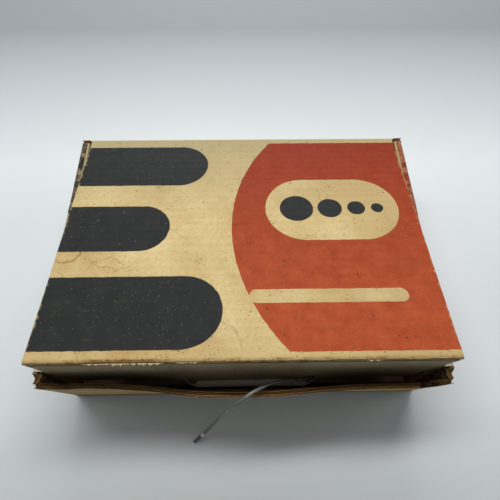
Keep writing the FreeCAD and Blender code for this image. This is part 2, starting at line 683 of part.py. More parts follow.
def base():
    """Pressed deck over a bottom plate, on four rubber feet, with the cord's inlet at the back."""
    outer = rounded_block("deck_outer", f"2 * {BASE_HALF}", BASE_DEPTH, "deck_height",
                          f"-{BASE_HALF}", BASE_FRONT, SKIRT, "base_round")
    inner = rounded_block("deck_inner", f"2 * ({BASE_HALF} - deck_wall)", f"{BASE_DEPTH} - 2 * deck_wall",
                          "deck_height - deck_wall", f"-{BASE_HALF} + deck_wall",
                          f"{BASE_FRONT} + deck_wall", SKIRT, "base_round - deck_wall")
    inlet_z = f"({SKIRT} + (deck_height - deck_wall) / 2)"
    neck = "(inlet_bore + inlet_wall)"
    inlet_hole = rod("inlet_hole", neck, "deck_wall * 3", "-inlet_x", f"{BASE_BACK} - deck_wall * 2", inlet_z, "Y")
    sub_part("base_deck", cut("deck", outer, inner, inlet_hole))
    sub_part("base_bottom_plate", rounded_block("bottom_plate", f"2 * {BASE_HALF}", BASE_DEPTH, "plate_thickness",
                                                f"-{BASE_HALF}", BASE_FRONT, PLATE, "base_round"))
    feet = []
    corners = [(x, y) for x in ("-", "") for y in (f"{BASE_FRONT} + foot_inset", f"{BASE_BACK} - foot_inset")]
    for i, (x, y) in enumerate(corners):
        feet.append(taper(f"foot_{i}", "foot_radius - foot_draft", "foot_radius", "foot_height",
                          f"{x}({BASE_HALF} - foot_inset)", y, "board"))
    sub_part("rubber_feet", group("feet", *feet))
    lip = f"({neck} + inlet_lip)"
    sub_part("cord_inlet", turned("inlet", "-inlet_x", f"{BASE_BACK} - deck_wall - inlet_lip", inlet_z, "Y", [
        ("inlet_bore", 0), (lip, 0), (lip, "inlet_lip"), (neck, "inlet_lip"), (neck, "inlet_lip + deck_wall"),
        (lip, "inlet_lip + deck_wall"), (neck, "inlet_length"), ("inlet_bore", "inlet_length"),
    ]))


HOOD_TOP = f"({HOUSING_TOP} - housing_round)"
SLEEVE_RADIUS = "(lens_radius + slide_fit + sleeve_wall)"
SCREEN_FOOT = f"({OPTIC} + {SLEEVE_RADIUS} + screen_sleeve_gap + screen_lap)"
SCREEN_TOP = f"({HOOD_TOP} - hood_wall - bezel_gap - bezel_width)"
SCREEN_HEIGHT = f"({SCREEN_TOP} - {SCREEN_FOOT})"
HOOD_FOOT = f"({SCREEN_FOOT} - bezel_width - bezel_gap)"
FOCUS_Y = f"({HOUSING_FRONT} + focus_shaft_setback)"
FOCUS_Z = f"({OPTIC} + lens_radius + focus_shaft_radius + 2 * slide_fit)"


def crowned_block(name, width, depth, height, x, y, z, radius):
    """A block rounded at its front uprights and round its top, but not along its back."""
    body = new_body(name, x, y, z)
    sketch = new_sketch(body, "XY_Plane", name + "_outline")
    draw_outline(sketch, [(0, 0), (width, 0), (width, depth), (0, depth)])
    block = pad(body, sketch, height)
    doc.recompute()
    room = block.Shape.BoundBox

    def front_or_crown(edge):
        middle = edge.CenterOfMass
        upright = runs_along(Vector(0, 0, 1))(edge) and middle.y < room.Center.y
        crown = middle.z > 0.9 * room.ZMax and middle.y < 0.9 * room.YMax
        return upright or crown

    round_edges(body, block, radius, front_or_crown)
    return body


def cover_screw_places():
    across = "(housing_width / 2 - cover_screw_inset)"
    levels = (f"({DECK} + cover_screw_inset)", f"({HOUSING_TOP} - cover_screw_inset)")
    return [(f"{side}{across}", level) for side in ("-", "") for level in levels]


def housing():
    """The housing: a rounded shell, open below and behind, with windows for the screen and lens."""
    outer = crowned_block("housing_outer", "housing_width", HOUSING_DEPTH, "housing_height",
                          "-housing_width / 2", HOUSING_FRONT, DECK, "housing_round")
    inner = crowned_block("housing_inner", "housing_width - 2 * housing_wall", HOUSING_DEPTH,
                          "housing_height - housing_wall", "-housing_width / 2 + housing_wall",
                          f"{HOUSING_FRONT} + housing_wall", DECK, "housing_round - housing_wall")
    through = "(housing_wall * 3)"
    window = box("screen_window", "screen_width", through, SCREEN_HEIGHT, "-screen_width / 2",
                 f"{HOUSING_FRONT} - housing_wall", SCREEN_FOOT)
    lens_hole = rod("lens_hole", f"{SLEEVE_RADIUS} + slide_fit", through, 0,
                    f"{HOUSING_FRONT} - housing_wall", OPTIC, "Y")
    shaft_hole = rod("focus_hole", "focus_shaft_radius + slide_fit", through,
                     "housing_width / 2 - housing_wall * 2", FOCUS_Y, FOCUS_Z, "X")
    shell = cut("housing_shell", outer, inner, window, lens_hole, shaft_hole)
    bosses = []
    holes = []
    for i, (x, z) in enumerate(cover_screw_places()):
        bosses.append(box(f"screw_boss_{i}", "screw_boss", "screw_boss", "screw_boss", f"{x} - screw_boss / 2",
                          f"{HOUSING_BACK} - screw_boss", f"{z} - screw_boss / 2"))
        holes.append(rod(f"boss_hole_{i}", "screw_radius + screw_fit", "screw_boss", x,
                         f"{HOUSING_BACK} - screw_boss", z, "Y"))
    sub_part("viewer_housing", cut("housing", join("housing_with_bosses", shell, *bosses), *holes))


def back_cover():
    """The housing's back cover, with vent slots and four screws."""
    plate = box("cover_plate", "housing_width - 2 * cover_inset", "cover_thickness",
                "housing_height - 2 * cover_inset", "-housing_width / 2 + cover_inset", HOUSING_BACK,
                f"{DECK} + cover_inset")
    slots = [box(f"vent_{i}", "vent_width", "cover_thickness * 3", "vent_height", "-vent_width / 2",
                 f"{HOUSING_BACK} - cover_thickness", f"{DECK} + housing_height / 2 + vent_pitch * {i}")
             for i in range(int(sizes.vent_count))]
    holes = [rod(f"cover_hole_{i}", "screw_radius + screw_fit", "cover_thickness * 3", x,
                 f"{HOUSING_BACK} - cover_thickness", z, "Y") for i, (x, z) in enumerate(cover_screw_places())]
    sub_part("housing_back_cover", cut("back_cover", plate, *slots, *holes))
    head_y = f"{HOUSING_BACK} + cover_thickness"
    screws = [join(f"cover_screw_{i}",
                   rod(f"cover_screw_shank_{i}", "screw_radius", "screw_length + cover_thickness", x,
                       f"{HOUSING_BACK} - screw_length", z, "Y"),
                   taper(f"cover_screw_head_{i}", "screw_head_radius", "screw_head_radius * 0.7",
                         "screw_head_height", x, head_y, z, "Y"))
              for i, (x, z) in enumerate(cover_screw_places())]
    sub_part("back_cover_screws", group("cover_screws", *screws))


def screen():
    """Hood, bezel and ground screen in the front of the housing."""
    hood = new_body("hood", 0, HOUSING_FRONT)
    sketch = new_sketch(hood, "XZ_Plane", "hood_outline")
    half = "(hood_width / 2)"
    inner = f"({half} - hood_wall)"
    roof = f"({HOOD_TOP} - hood_wall)"
    draw_outline(sketch, [
        (f"-{half}", HOOD_FOOT), (f"-{half}", HOOD_TOP), (half, HOOD_TOP), (half, HOOD_FOOT),
        (inner, HOOD_FOOT), (inner, roof), (f"-{inner}", roof), (f"-{inner}", HOOD_FOOT),
    ])
    pad(hood, sketch, "hood_reach")
    wedge = new_body("hood_wedge", f"-{half} - 1")
    slope = new_sketch(wedge, "YZ_Plane", "hood_slope")
    front = f"({HOUSING_FRONT} - hood_reach)"
    draw_outline(slope, [
        (f"{front} - 1", f"{HOOD_FOOT} - 1"), (f"{HOUSING_FRONT} - hood_foot_reach", f"{HOOD_FOOT} - 1"),
        (f"{front} + 1", f"{HOOD_TOP} - 2 * hood_wall"), (f"{front} - 1", f"{HOOD_TOP} - 2 * hood_wall"),
    ])
    pad(wedge, slope, "hood_width + 2")
    sub_part("screen_hood", cut("hood_cut", hood, wedge))

    bezel = box("bezel_block", "screen_width + 2 * bezel_width", "bezel_thickness",
                f"{SCREEN_HEIGHT} + 2 * bezel_width", "-screen_width / 2 - bezel_width",
                f"{HOUSING_FRONT} - bezel_thickness", f"{SCREEN_FOOT} - bezel_width")
    opening = box("bezel_opening", "screen_width", "bezel_thickness * 3", SCREEN_HEIGHT, "-screen_width / 2",
                  f"{HOUSING_FRONT} - bezel_thickness * 2", SCREEN_FOOT)
    sub_part("screen_bezel", cut("bezel", bezel, opening))
    sub_part("viewing_screen", box("screen_glass", "screen_width + 2 * screen_lap", "screen_thickness",
                                   f"{SCREEN_HEIGHT} + 2 * screen_lap", "-screen_width / 2 - screen_lap",
                                   f"{HOUSING_FRONT} + housing_wall", f"{SCREEN_FOOT} - screen_lap"))


def mirror():
    """Mirror leaning back in the housing, on a bent bracket."""
    foot_y = f"({HOUSING_BACK} - mirror_back_gap)"
    lift = "(mirror_thickness * sin(mirror_tilt) + slide_fit)"
    z = f"({DECK} + bracket_thickness + {lift})"

    def leaning(name, width, depth, height, shift):
        plate = doc.addObject("Part::Box", name)
        plate.Placement = Placement(Vector(), Rotation(Vector(-1, 0, 0), sizes.mirror_tilt))
        bind(plate, "Placement.Rotation.Angle", "mirror_tilt * 1 deg")
        bind(plate, "Length", width)
        bind(plate, "Width", depth)
        bind(plate, "Height", height)
        seat(plate, f"-{width} / 2", f"{foot_y} + {shift} * cos(mirror_tilt)", f"{z} - {shift} * sin(mirror_tilt)")
        return plate

    sub_part("mirror", leaning("mirror_plate", "mirror_width", "mirror_thickness", "mirror_height", "0"))
    upright = leaning("bracket_upright", "bracket_width", "bracket_thickness", "bracket_height", "mirror_thickness")
    foot = box("bracket_plate", "bracket_width", "bracket_foot", "bracket_thickness", "-bracket_width / 2",
               f"{foot_y} - bracket_thickness", DECK)
    sub_part("mirror_bracket", join("bracket", upright, foot))


def lens():
    """Sleeve in the housing's front, sliding barrel with its glass, and the focus shaft and knob."""
    sleeve_bore = "(lens_radius + slide_fit)"
    sub_part("lens_sleeve", turned("sleeve", 0, HOUSING_FRONT, OPTIC, "Y", [
        (sleeve_bore, 0), (SLEEVE_RADIUS, 0), (SLEEVE_RADIUS, "sleeve_length"), (sleeve_bore, "sleeve_length"),
    ]))
    lens_y = f"({HOUSING_FRONT} - lens_reach)"
    sub_part("lens_barrel", turned("barrel", 0, lens_y, OPTIC, "Y", [
        ("lens_bore", 0), ("lens_radius - lens_bevel", 0), ("lens_radius", "lens_bevel"),
        ("lens_radius", "lens_length"), ("lens_bore", "lens_length"),
    ]))
    sub_part("projection_lens", turned("lens_glass_disc", 0, f"{lens_y} + lens_recess", OPTIC, "Y", [
        (0, 0), ("lens_bore / 2", "lens_bulge / 4"), ("lens_bore", "lens_bulge"), ("lens_bore", "lens_glass"),
        (0, "lens_glass"),
    ]))
    knob_x = "(housing_width / 2 + focus_knob_gap)"
    inner_end = "(focus_shaft_radius * 2)"
    sub_part("focus_shaft", rod("focus_rod", "focus_shaft_radius",
                                f"{inner_end} + {knob_x} + focus_knob_length - focus_knob_face",
                                f"-{inner_end}", FOCUS_Y, FOCUS_Z, "X"))
    bore = "(focus_shaft_radius + slide_fit / 2)"
    bore_end = "focus_knob_length - focus_knob_face + slide_fit"
    sub_part("focus_knob", turned("focus_knob_turning", knob_x, FOCUS_Y, FOCUS_Z, "X", [
        (bore, 0), ("focus_hub_radius", 0), ("focus_hub_radius", "focus_hub_length"),
        ("focus_knob_radius", "focus_hub_length + 1"), ("focus_knob_radius", "focus_knob_length - focus_knob_bevel"),
        ("focus_knob_radius - focus_knob_bevel", "focus_knob_length"), (0, "focus_knob_length"), (0, bore_end),
        (bore, bore_end),
    ]))


GATE_HALF = "(gate_width / 2)"
GATE_Z = f"({DECK} + gate_hinge_rise)"
GATE_Y = f"({FILM_Y} - gate_film_gap - gate_thickness / 2)"
EAR_X = f"({GATE_HALF} + gate_side_gap)"


def film_channel():
    """Plate that carries the sprocket, with two ears for the gate's pin."""
    plate = box("channel_plate", "channel_width", "channel_depth", "channel_thickness", "-channel_width / 2",
                f"{HOUSING_FRONT} - channel_gap - channel_depth", DECK)
    ears = []
    holes = [rod("sprocket_hole", "sprocket_shaft_radius + slide_fit", "channel_thickness * 3", 0, SPROCKET_Y,
                 f"{DECK} - channel_thickness")]
    for side, x in (("left", f"-{EAR_X} - gate_ear_thickness"), ("right", EAR_X)):
        ears.append(box(side + "_gate_ear", "gate_ear_thickness", "2 * gate_knuckle_radius",
                        "gate_hinge_rise + gate_knuckle_radius", x, f"{GATE_Y} - gate_knuckle_radius", DECK))
        holes.append(rod(side + "_ear_hole", "gate_pin_radius + slide_fit / 2", "gate_ear_thickness * 3",
                         f"{x} - gate_ear_thickness", GATE_Y, GATE_Z, "X"))
    sub_part("film_channel", cut("channel", join("channel_body", plate, *ears), *holes))


def pressure_gate():
    """The gate that presses the film flat: hinged at its top, with the frame's window in it."""
    plate = box("gate_plate", "gate_width", "gate_thickness", "gate_hinge_rise - gate_foot_rise",
                f"-{GATE_HALF}", f"{GATE_Y} - gate_thickness / 2", f"{DECK} + gate_foot_rise")
    knuckle = rod("gate_knuckle", "gate_knuckle_radius", "gate_width", f"-{GATE_HALF}", GATE_Y, GATE_Z, "X")
    bore = rod("gate_bore", "gate_pin_radius + slide_fit", "2 * gate_width", "-gate_width", GATE_Y, GATE_Z, "X")
    window = box("gate_window", "frame_window_width", "gate_thickness * 3", "frame_window_height",
                 "-frame_window_width / 2", f"{GATE_Y} - gate_thickness * 1.5", f"{OPTIC} - frame_window_height / 2")
    sub_part("pressure_gate", cut("gate", join("gate_body", plate, knuckle), bore, window))
    reach = f"({EAR_X} + gate_ear_thickness)"
    sub_part("gate_hinge_pin", rod("gate_pin", "gate_pin_radius", f"2 * {reach}", f"-{reach}", GATE_Y, GATE_Z, "X"))


def sprocket():
    """Toothed drum and glass prism that the film turns, over the framing lever."""
    drum_top = f"({FILM_FOOT} + tooth_size)"
    drum_foot = f"({drum_top} - sprocket_drum_height)"
    drum = rod("sprocket_drum", SPROCKET_RADIUS, "sprocket_drum_height", 0, SPROCKET_Y, drum_foot)
    shaft = rod("sprocket_shaft", "sprocket_shaft_radius", f"{drum_foot} - {DECK} - slide_fit", 0, SPROCKET_Y,
                f"{DECK} + slide_fit")
    teeth = []
    for i in range(int(sizes.sprocket_teeth)):
        turn = f"({i} * 360 / sprocket_teeth)"
        tooth = taper(f"tooth_{i}", "tooth_size * 0.6", "tooth_size * 0.3", "tooth_size * 1.5",
                      f"({SPROCKET_RADIUS} - tooth_size / 2) * cos({turn})",
                      f"{SPROCKET_Y} + ({SPROCKET_RADIUS} - tooth_size / 2) * sin({turn})",
                      f"{drum_top} - tooth_size")
        angle = i * 360 / sizes.sprocket_teeth
        tooth.Placement = Placement(tooth.Placement.Base, Rotation(Vector(0, 0, 1), angle) * TURNS["X"])
        teeth.append(tooth)
    sub_part("film_sprocket", join("sprocket", drum, shaft, *teeth))

    prism = doc.addObject("Part::Prism", "prism")
    bind(prism, "Polygon", "sprocket_teeth")
    bind(prism, "Circumradius", "prism_radius")
    bind(prism, "Height", "prism_height")
    seat(prism, 0, SPROCKET_Y, drum_top)
    sub_part("rotating_prism", prism)

    z = f"({CHANNEL_TOP} + slide_fit)"
    body = new_body("lever", 0, SPROCKET_Y, z, Rotation(Vector(0, 0, 1), sizes.lever_turn))
    bind(body, "Placement.Rotation.Angle", "lever_turn * 1 deg")
    sketch = new_sketch(body, "XY_Plane", "lever_ring")
    draw_circle(sketch, "lever_ring_radius")
    draw_circle(sketch, "sprocket_shaft_radius + slide_fit")
    pad(body, sketch, "lever_thickness")
    arm = new_sketch(body, "XY_Plane", "lever_arm")
    start = "(lever_ring_radius * 0.8)"
    half = "(lever_width / 2)"
    draw_outline(arm, [(start, f"-{half}"), ("lever_length", f"-{half}"), ("lever_length", half), (start, half)])
    pad(body, arm, "lever_thickness")
    knob = new_sketch(body, "XY_Plane", "lever_knob")
    draw_circle(knob, "lever_knob_radius", "lever_length")
    pad(body, knob, "lever_knob_height")
    sub_part("framing_lever", body)


ROLLER_Y = f"({FILM_Y} + roller_radius)"
ROLLER_FOOT = f"({FILM_FOOT} - roller_flange)"
ROLLER_HEIGHT = "(film_width + 2 * roller_flange)"


def guide_rollers():
    """Two flanged rollers on shouldered posts, in line with the sprocket."""
    posts = []
    place = "(channel_width / 2 + roller_gap + roller_flange_radius)"
    for side, x in (("left", f"-{place}"), ("right", place)):
        bore = "(roller_post_radius + slide_fit)"
        top = f"(roller_flange + film_width)"
        sub_part("guide_roller_" + side, turned(side + "_roller", x, ROLLER_Y, ROLLER_FOOT, "Z", [
            (bore, 0), ("roller_flange_radius", 0), ("roller_flange_radius", "roller_flange * 0.6"),
            ("roller_radius", "roller_flange"), ("roller_radius", top),
            ("roller_flange_radius", f"{top} + roller_flange * 0.4"), ("roller_flange_radius", ROLLER_HEIGHT),
            (bore, ROLLER_HEIGHT),
        ]))
        shoulder = f"({ROLLER_FOOT} - {DECK} - slide_fit)"
        head = f"({shoulder} + {ROLLER_HEIGHT} + 2 * slide_fit)"
        posts.append(turned(side + "_post", x, ROLLER_Y, DECK, "Z", [
            (0, 0), ("post_shoulder_radius", 0), ("post_shoulder_radius", shoulder),
            ("roller_post_radius", shoulder), ("roller_post_radius", head), ("post_shoulder_radius", head),
            ("post_shoulder_radius", f"{head} + post_head_height / 2"), (0, f"{head} + post_head_height"),
        ]))
    sub_part("roller_posts", group("posts", *posts))


def lamp():
    """Lamp house in front of the gate, with its condenser, socket and lamp."""
    back = f"({HOUSING_FRONT} - lamp_reach)"
    y = f"({back} - lamp_house_depth)"
    middle = f"({back} - lamp_house_depth / 2)"
    block = box("lamp_block", "lamp_house_width", "lamp_house_depth", "lamp_house_height", "-lamp_house_width / 2",
                y, DECK)
    hollow = box("lamp_hollow", "lamp_house_width - 2 * lamp_house_wall", "lamp_house_depth - 2 * lamp_house_wall",
                 "lamp_house_height - lamp_house_wall", "-lamp_house_width / 2 + lamp_house_wall",
                 f"{y} + lamp_house_wall", DECK)
    port = rod("condenser_port", "condenser_radius + slide_fit", "lamp_house_wall * 3", 0,
               f"{back} - lamp_house_wall * 2", OPTIC, "Y")
    vents = [box(f"lamp_vent_{i}", "lamp_house_width * 0.6", "lamp_house_wall", "lamp_house_wall * 3",
                 "-lamp_house_width * 0.3", f"{y} + lamp_house_depth * {share}",
                 f"{DECK} + lamp_house_height - lamp_house_wall * 2") for i, share in enumerate((0.25, 0.45, 0.65))]
    sub_part("lamp_house", cut("lamp_case", block, hollow, port, *vents))
    sub_part("condenser_lens", turned("condenser", 0, f"{back} - condenser_thickness + 1", OPTIC, "Y", [
        (0, 0), ("condenser_radius", 0), ("condenser_radius", "condenser_thickness - 1"),
        ("condenser_radius * 0.6", "condenser_thickness - 0.4"), (0, "condenser_thickness"),
    ]))
    bore = "(lamp_base_radius + slide_fit)"
    sub_part("lamp_socket", turned("socket", 0, middle, DECK, "Z", [
        (0, 0), (f"{bore} + socket_wall", 0), (f"{bore} + socket_wall", "socket_height"), (bore, "socket_height"),
        (bore, "socket_wall"), (0, "socket_wall"),
    ]))
    cap_foot = f"({DECK} + socket_wall)"
    sub_part("lamp_cap", rod("cap", "lamp_base_radius", "lamp_base_height", 0, middle, cap_foot))
    cap_top = f"({cap_foot} + lamp_base_height)"
    bulb = doc.addObject("Part::Sphere", "bulb_ball")
    bind(bulb, "Radius", "lamp_radius")
    seat(bulb, 0, middle, f"{cap_top} + lamp_radius * 0.9")
    neck = rod("bulb_neck", "lamp_base_radius * 0.8", "lamp_radius * 0.9", 0, middle, cap_top)
    below = box("bulb_below", "4 * lamp_radius", "4 * lamp_radius", "2 * lamp_radius", "-2 * lamp_radius",
                f"{middle} - 2 * lamp_radius", f"{cap_top} - 2 * lamp_radius")
    sub_part("lamp_bulb", cut("bulb", join("bulb_whole", bulb, neck), below))


def switch():
    """Toggle switch on the deck."""
    x = "(housing_width / 2 + switch_side_gap)"
    y = f"({HOUSING_FRONT} - switch_reach)"
    well = "(toggle_ball_radius + slide_fit)"
    sub_part("switch_nut", turned("nut", x, y, DECK, "Z", [
        (well, 0), ("switch_radius", 0), ("switch_radius", "switch_height * 0.6"),
        ("switch_radius * 0.7", "switch_height"), (well, "switch_height"),
    ]))
    pivot = f"({DECK} + slide_fit + toggle_ball_radius)"
    ball = doc.addObject("Part::Sphere", "toggle_ball")
    bind(ball, "Radius", "toggle_ball_radius")
    seat(ball, x, y, pivot)
    stem = taper("toggle_stem", "toggle_foot_radius", "toggle_radius",
                 f"{DECK} + toggle_length - toggle_radius - {pivot}", x, y, pivot)
    end = doc.addObject("Part::Sphere", "toggle_end")
    bind(end, "Radius", "toggle_radius")
    seat(end, x, y, f"{DECK} + toggle_length - toggle_radius")
    sub_part("switch_toggle", join("toggle", ball, stem, end))


PIVOT_Z = f"({DECK} + arm_pivot_rise)"
ARM_Y = f"({HOUSING_FRONT} + arm_setback)"
SPINDLE_Z = f"({PIVOT_Z} + arm_climb)"
BRACKET_HALF = "(arm_thickness / 2 + arm_side_gap + cheek_thickness)"
CRANK_BACK = f"({ARM_Y} - arm_thickness / 2 - crank_gap)"
CRANK_FRONT = f"({CRANK_BACK} - crank_thickness)"


def mirrored(name, source):
    """The left-hand twin of a right-hand piece."""
    twin = doc.addObject("Part::Mirroring", name)
    twin.Source = source
    twin.Normal = Vector(1, 0, 0)
    return twin


def both_sides(name, right):
    sub_part(name + "_right", right)
    sub_part(name + "_left", mirrored(name + "_twin", right))


def reel_arms():
    """Brackets, pivot pins, reel arms, spindles and cranks, right and left."""
    foot = box("bracket_base", "arm_bracket_width", f"2 * {BRACKET_HALF}", "arm_bracket_foot",
               f"{PIVOT_X} - arm_bracket_width / 2", f"{ARM_Y} - {BRACKET_HALF}", DECK)
    cheeks = []
    for i, y in enumerate((f"({ARM_Y} - {BRACKET_HALF})", f"({ARM_Y} + {BRACKET_HALF} - cheek_thickness)")):
        cheeks.append(box(f"cheek_{i}", "arm_bracket_width", "cheek_thickness", "arm_pivot_rise",
                          f"{PIVOT_X} - arm_bracket_width / 2", y, DECK))
        cheeks.append(rod(f"cheek_top_{i}", "arm_bracket_width / 2", "cheek_thickness", PIVOT_X, y, PIVOT_Z, "Y"))
    pin_hole = rod("bracket_pin_hole", "arm_pin_radius + slide_fit / 2", f"4 * {BRACKET_HALF}", PIVOT_X,
                   f"{ARM_Y} - 2 * {BRACKET_HALF}", PIVOT_Z, "Y")
    both_sides("arm_bracket", cut("arm_bracket", join("bracket_body", foot, *cheeks), pin_hole))

    head = "arm_pin_radius * 1.5"
    far = f"(pin_head + 2 * {BRACKET_HALF})"
    pin = turned("pivot_pin", PIVOT_X, f"{ARM_Y} - {BRACKET_HALF} - pin_head", PIVOT_Z, "Y", [
        (0, 0), (head, 0), (head, "pin_head"), ("arm_pin_radius", "pin_head"), ("arm_pin_radius", far),
        (head, far), (head, f"{far} + pin_head"), (0, f"{far} + pin_head"),
    ])
    sub_part("arm_pivot_pins", group("pivot_pins", pin, mirrored("left_pivot_pin", pin)))

    front = f"({ARM_Y} - arm_thickness / 2)"
    slope = "atan(arm_climb / arm_span)"
    bar = box("arm_bar", "sqrt(arm_span ^ 2 + arm_climb ^ 2)", "arm_thickness", "arm_width",
              f"{PIVOT_X} + arm_width / 2 * sin({slope})", front, f"{PIVOT_Z} - arm_width / 2 * cos({slope})")
    bar.Placement = Placement(bar.Placement.Base, Rotation(Vector(0, -1, 0), 1))
    bind(bar, "Placement.Rotation.Angle", slope)
    ends = [rod(f"arm_end_{i}", "arm_width / 2", "arm_thickness", x, front, z, "Y")
            for i, (x, z) in enumerate(((PIVOT_X, PIVOT_Z), (SPINDLE_X, SPINDLE_Z)))]
    bores = [rod(f"arm_bore_{i}", f"{radius} + slide_fit", "arm_thickness * 3", x, f"{front} - arm_thickness", z, "Y")
             for i, (radius, x, z) in enumerate((("arm_pin_radius", PIVOT_X, PIVOT_Z),
                                                 ("spindle_radius", SPINDLE_X, SPINDLE_Z)))]
    both_sides("reel_arm", cut("reel_arm", join("arm_body", bar, *ends), *bores))

    reach = f"(crank_gap + arm_thickness + spindle_reach)"
    seat_start = "(crank_gap + arm_thickness + arm_side_gap)"
    seat_end = f"({seat_start} + spindle_flange)"
    both_sides("reel_spindle", turned("spindle", SPINDLE_X, CRANK_BACK, SPINDLE_Z, "Y", [
        (0, 0), ("spindle_radius", 0), ("spindle_radius", seat_start), ("spindle_flange_radius", seat_start),
        ("spindle_flange_radius", seat_end), ("spindle_radius", seat_end),
        ("spindle_radius", f"{reach} - spindle_bevel"), ("spindle_radius - spindle_bevel", reach), (0, reach),
    ]))

    knob_x = f"({SPINDLE_X} - crank_throw)"
    bar = box("crank_bar", "crank_throw", "crank_thickness", "crank_width", knob_x, CRANK_FRONT,
              f"{SPINDLE_Z} - crank_width / 2")
    ends = [rod(f"crank_end_{i}", "crank_width / 2", "crank_thickness", x, CRANK_FRONT, SPINDLE_Z, "Y")
            for i, x in enumerate((SPINDLE_X, knob_x))]
    pin_length = "(crank_knob_length + 2 * crank_knob_gap)"
    pin = turned("knob_pin", knob_x, CRANK_FRONT, SPINDLE_Z, "-Y", [
        (0, 0), ("crank_pin_radius", 0), ("crank_pin_radius", pin_length), ("crank_pin_radius * 1.7", pin_length),
        ("crank_pin_radius * 1.4", f"{pin_length} + pin_head"), (0, f"{pin_length} + pin_head"),
    ])
    both_sides("crank", join("crank", bar, *ends, pin))

    bore = "(crank_pin_radius + slide_fit)"
    long = "crank_knob_length"
    wide = "crank_knob_radius"
    both_sides("crank_knob", turned("knob", knob_x, f"{CRANK_FRONT} - crank_knob_gap", SPINDLE_Z, "-Y", [
        (bore, 0), (f"{wide} * 0.7", 0), (f"{wide} * 0.8", f"{long} * 0.3"), (wide, f"{long} * 0.7"),
        (f"{wide} * 0.9", f"{long} * 0.93"), (f"{wide} * 0.7", long), (bore, long),
    ]))


def build():
    carton_bottom()
    carton_back_wall()
    carton_side_wall("carton_left_side_wall", -1)
    carton_side_wall("carton_right_side_wall", 1)
    carton_front_wall()
    carton_corner_ears()
    lid_panel()
    lid_tuck_flap()
    handle_cord()
    handle_inner_barb()
    packing()
    base()
    housing()
    back_cover()
    screen()
    mirror()
    lens()
    film_channel()
    pressure_gate()
    sprocket()
    guide_rollers()
    lamp()
    switch()
    reel_arms()
    doc.recompute()


def check():
    """Stop on a failed object or a sub-part that isn't one sound shape."""
    for item in doc.Objects:
        if "Invalid" in item.State or "Error" in item.State:
            raise RuntimeError(f"{item.Name} failed: {item.State}")
    for piece in sub_parts:
        if piece.Shape.isNull() or not piece.Shape.isValid() or piece.Shape.Volume <= 0:
            raise RuntimeError(f"{piece.Label} isn't a sound solid")


def write():
    os.makedirs("parts", exist_ok=True)
    for piece in sub_parts:
        piece.Shape.exportStep(f"parts/{piece.Label}.step")
    print(len(sub_parts), "sub-parts written")


build()
check()
write()
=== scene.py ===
"""Looks of a film editor viewer packed in its worn corrugated carton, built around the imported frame."""

import json
import math
from functools import reduce

import bmesh
import bpy
from bpy.props import FloatProperty, FloatVectorProperty, PointerProperty
from mathutils import Matrix, Vector, noise


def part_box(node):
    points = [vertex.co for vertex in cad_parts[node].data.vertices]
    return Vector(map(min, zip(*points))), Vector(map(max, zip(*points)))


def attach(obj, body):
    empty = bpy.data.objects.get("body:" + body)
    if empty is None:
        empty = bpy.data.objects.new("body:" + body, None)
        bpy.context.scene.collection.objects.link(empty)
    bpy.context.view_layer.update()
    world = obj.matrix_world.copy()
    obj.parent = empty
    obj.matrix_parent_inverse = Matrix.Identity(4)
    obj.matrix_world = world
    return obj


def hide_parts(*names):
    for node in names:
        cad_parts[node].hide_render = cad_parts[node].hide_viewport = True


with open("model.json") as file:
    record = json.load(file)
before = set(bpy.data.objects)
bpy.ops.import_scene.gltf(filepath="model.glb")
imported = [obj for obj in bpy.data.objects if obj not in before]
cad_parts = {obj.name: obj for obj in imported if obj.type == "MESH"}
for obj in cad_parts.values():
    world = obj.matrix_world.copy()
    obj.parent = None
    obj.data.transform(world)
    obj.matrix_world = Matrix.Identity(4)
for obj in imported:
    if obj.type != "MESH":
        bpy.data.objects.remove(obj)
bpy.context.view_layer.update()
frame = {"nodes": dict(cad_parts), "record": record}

bl_info = {
    "name": "Film viewer in its carton",
    "version": (1, 0, 0),
    "blender": (4, 5, 0),
    "location": "View3D > Sidebar > Carton",
    "description": "Models the boards, print, cord and finishes of a packed film viewer",
    "category": "Object",
}

MM = 0.001
FULL_TURN = 2 * math.pi


def srgb(red, green, blue):
    """A colour given in 0 to 255, as the linear values that Blender's sockets take."""
    linear = []
    for level in (red, green, blue):
        share = level / 255
        linear.append(share / 12.92 if share <= 0.04045 else ((share + 0.055) / 1.055) ** 2.4)
    return (*linear, 1.0)


def ease(low, high, value):
    """0 below the low mark, 1 above the high one, and a smooth rise between them."""
    share = min(max((value - low) / (high - low), 0.0), 1.0)
    return share * share * (3 - 2 * share)


def rough(x, y, z=0.0):
    """Smooth noise between -1 and 1."""
    return noise.noise(Vector((x, y, z)))


# Materials

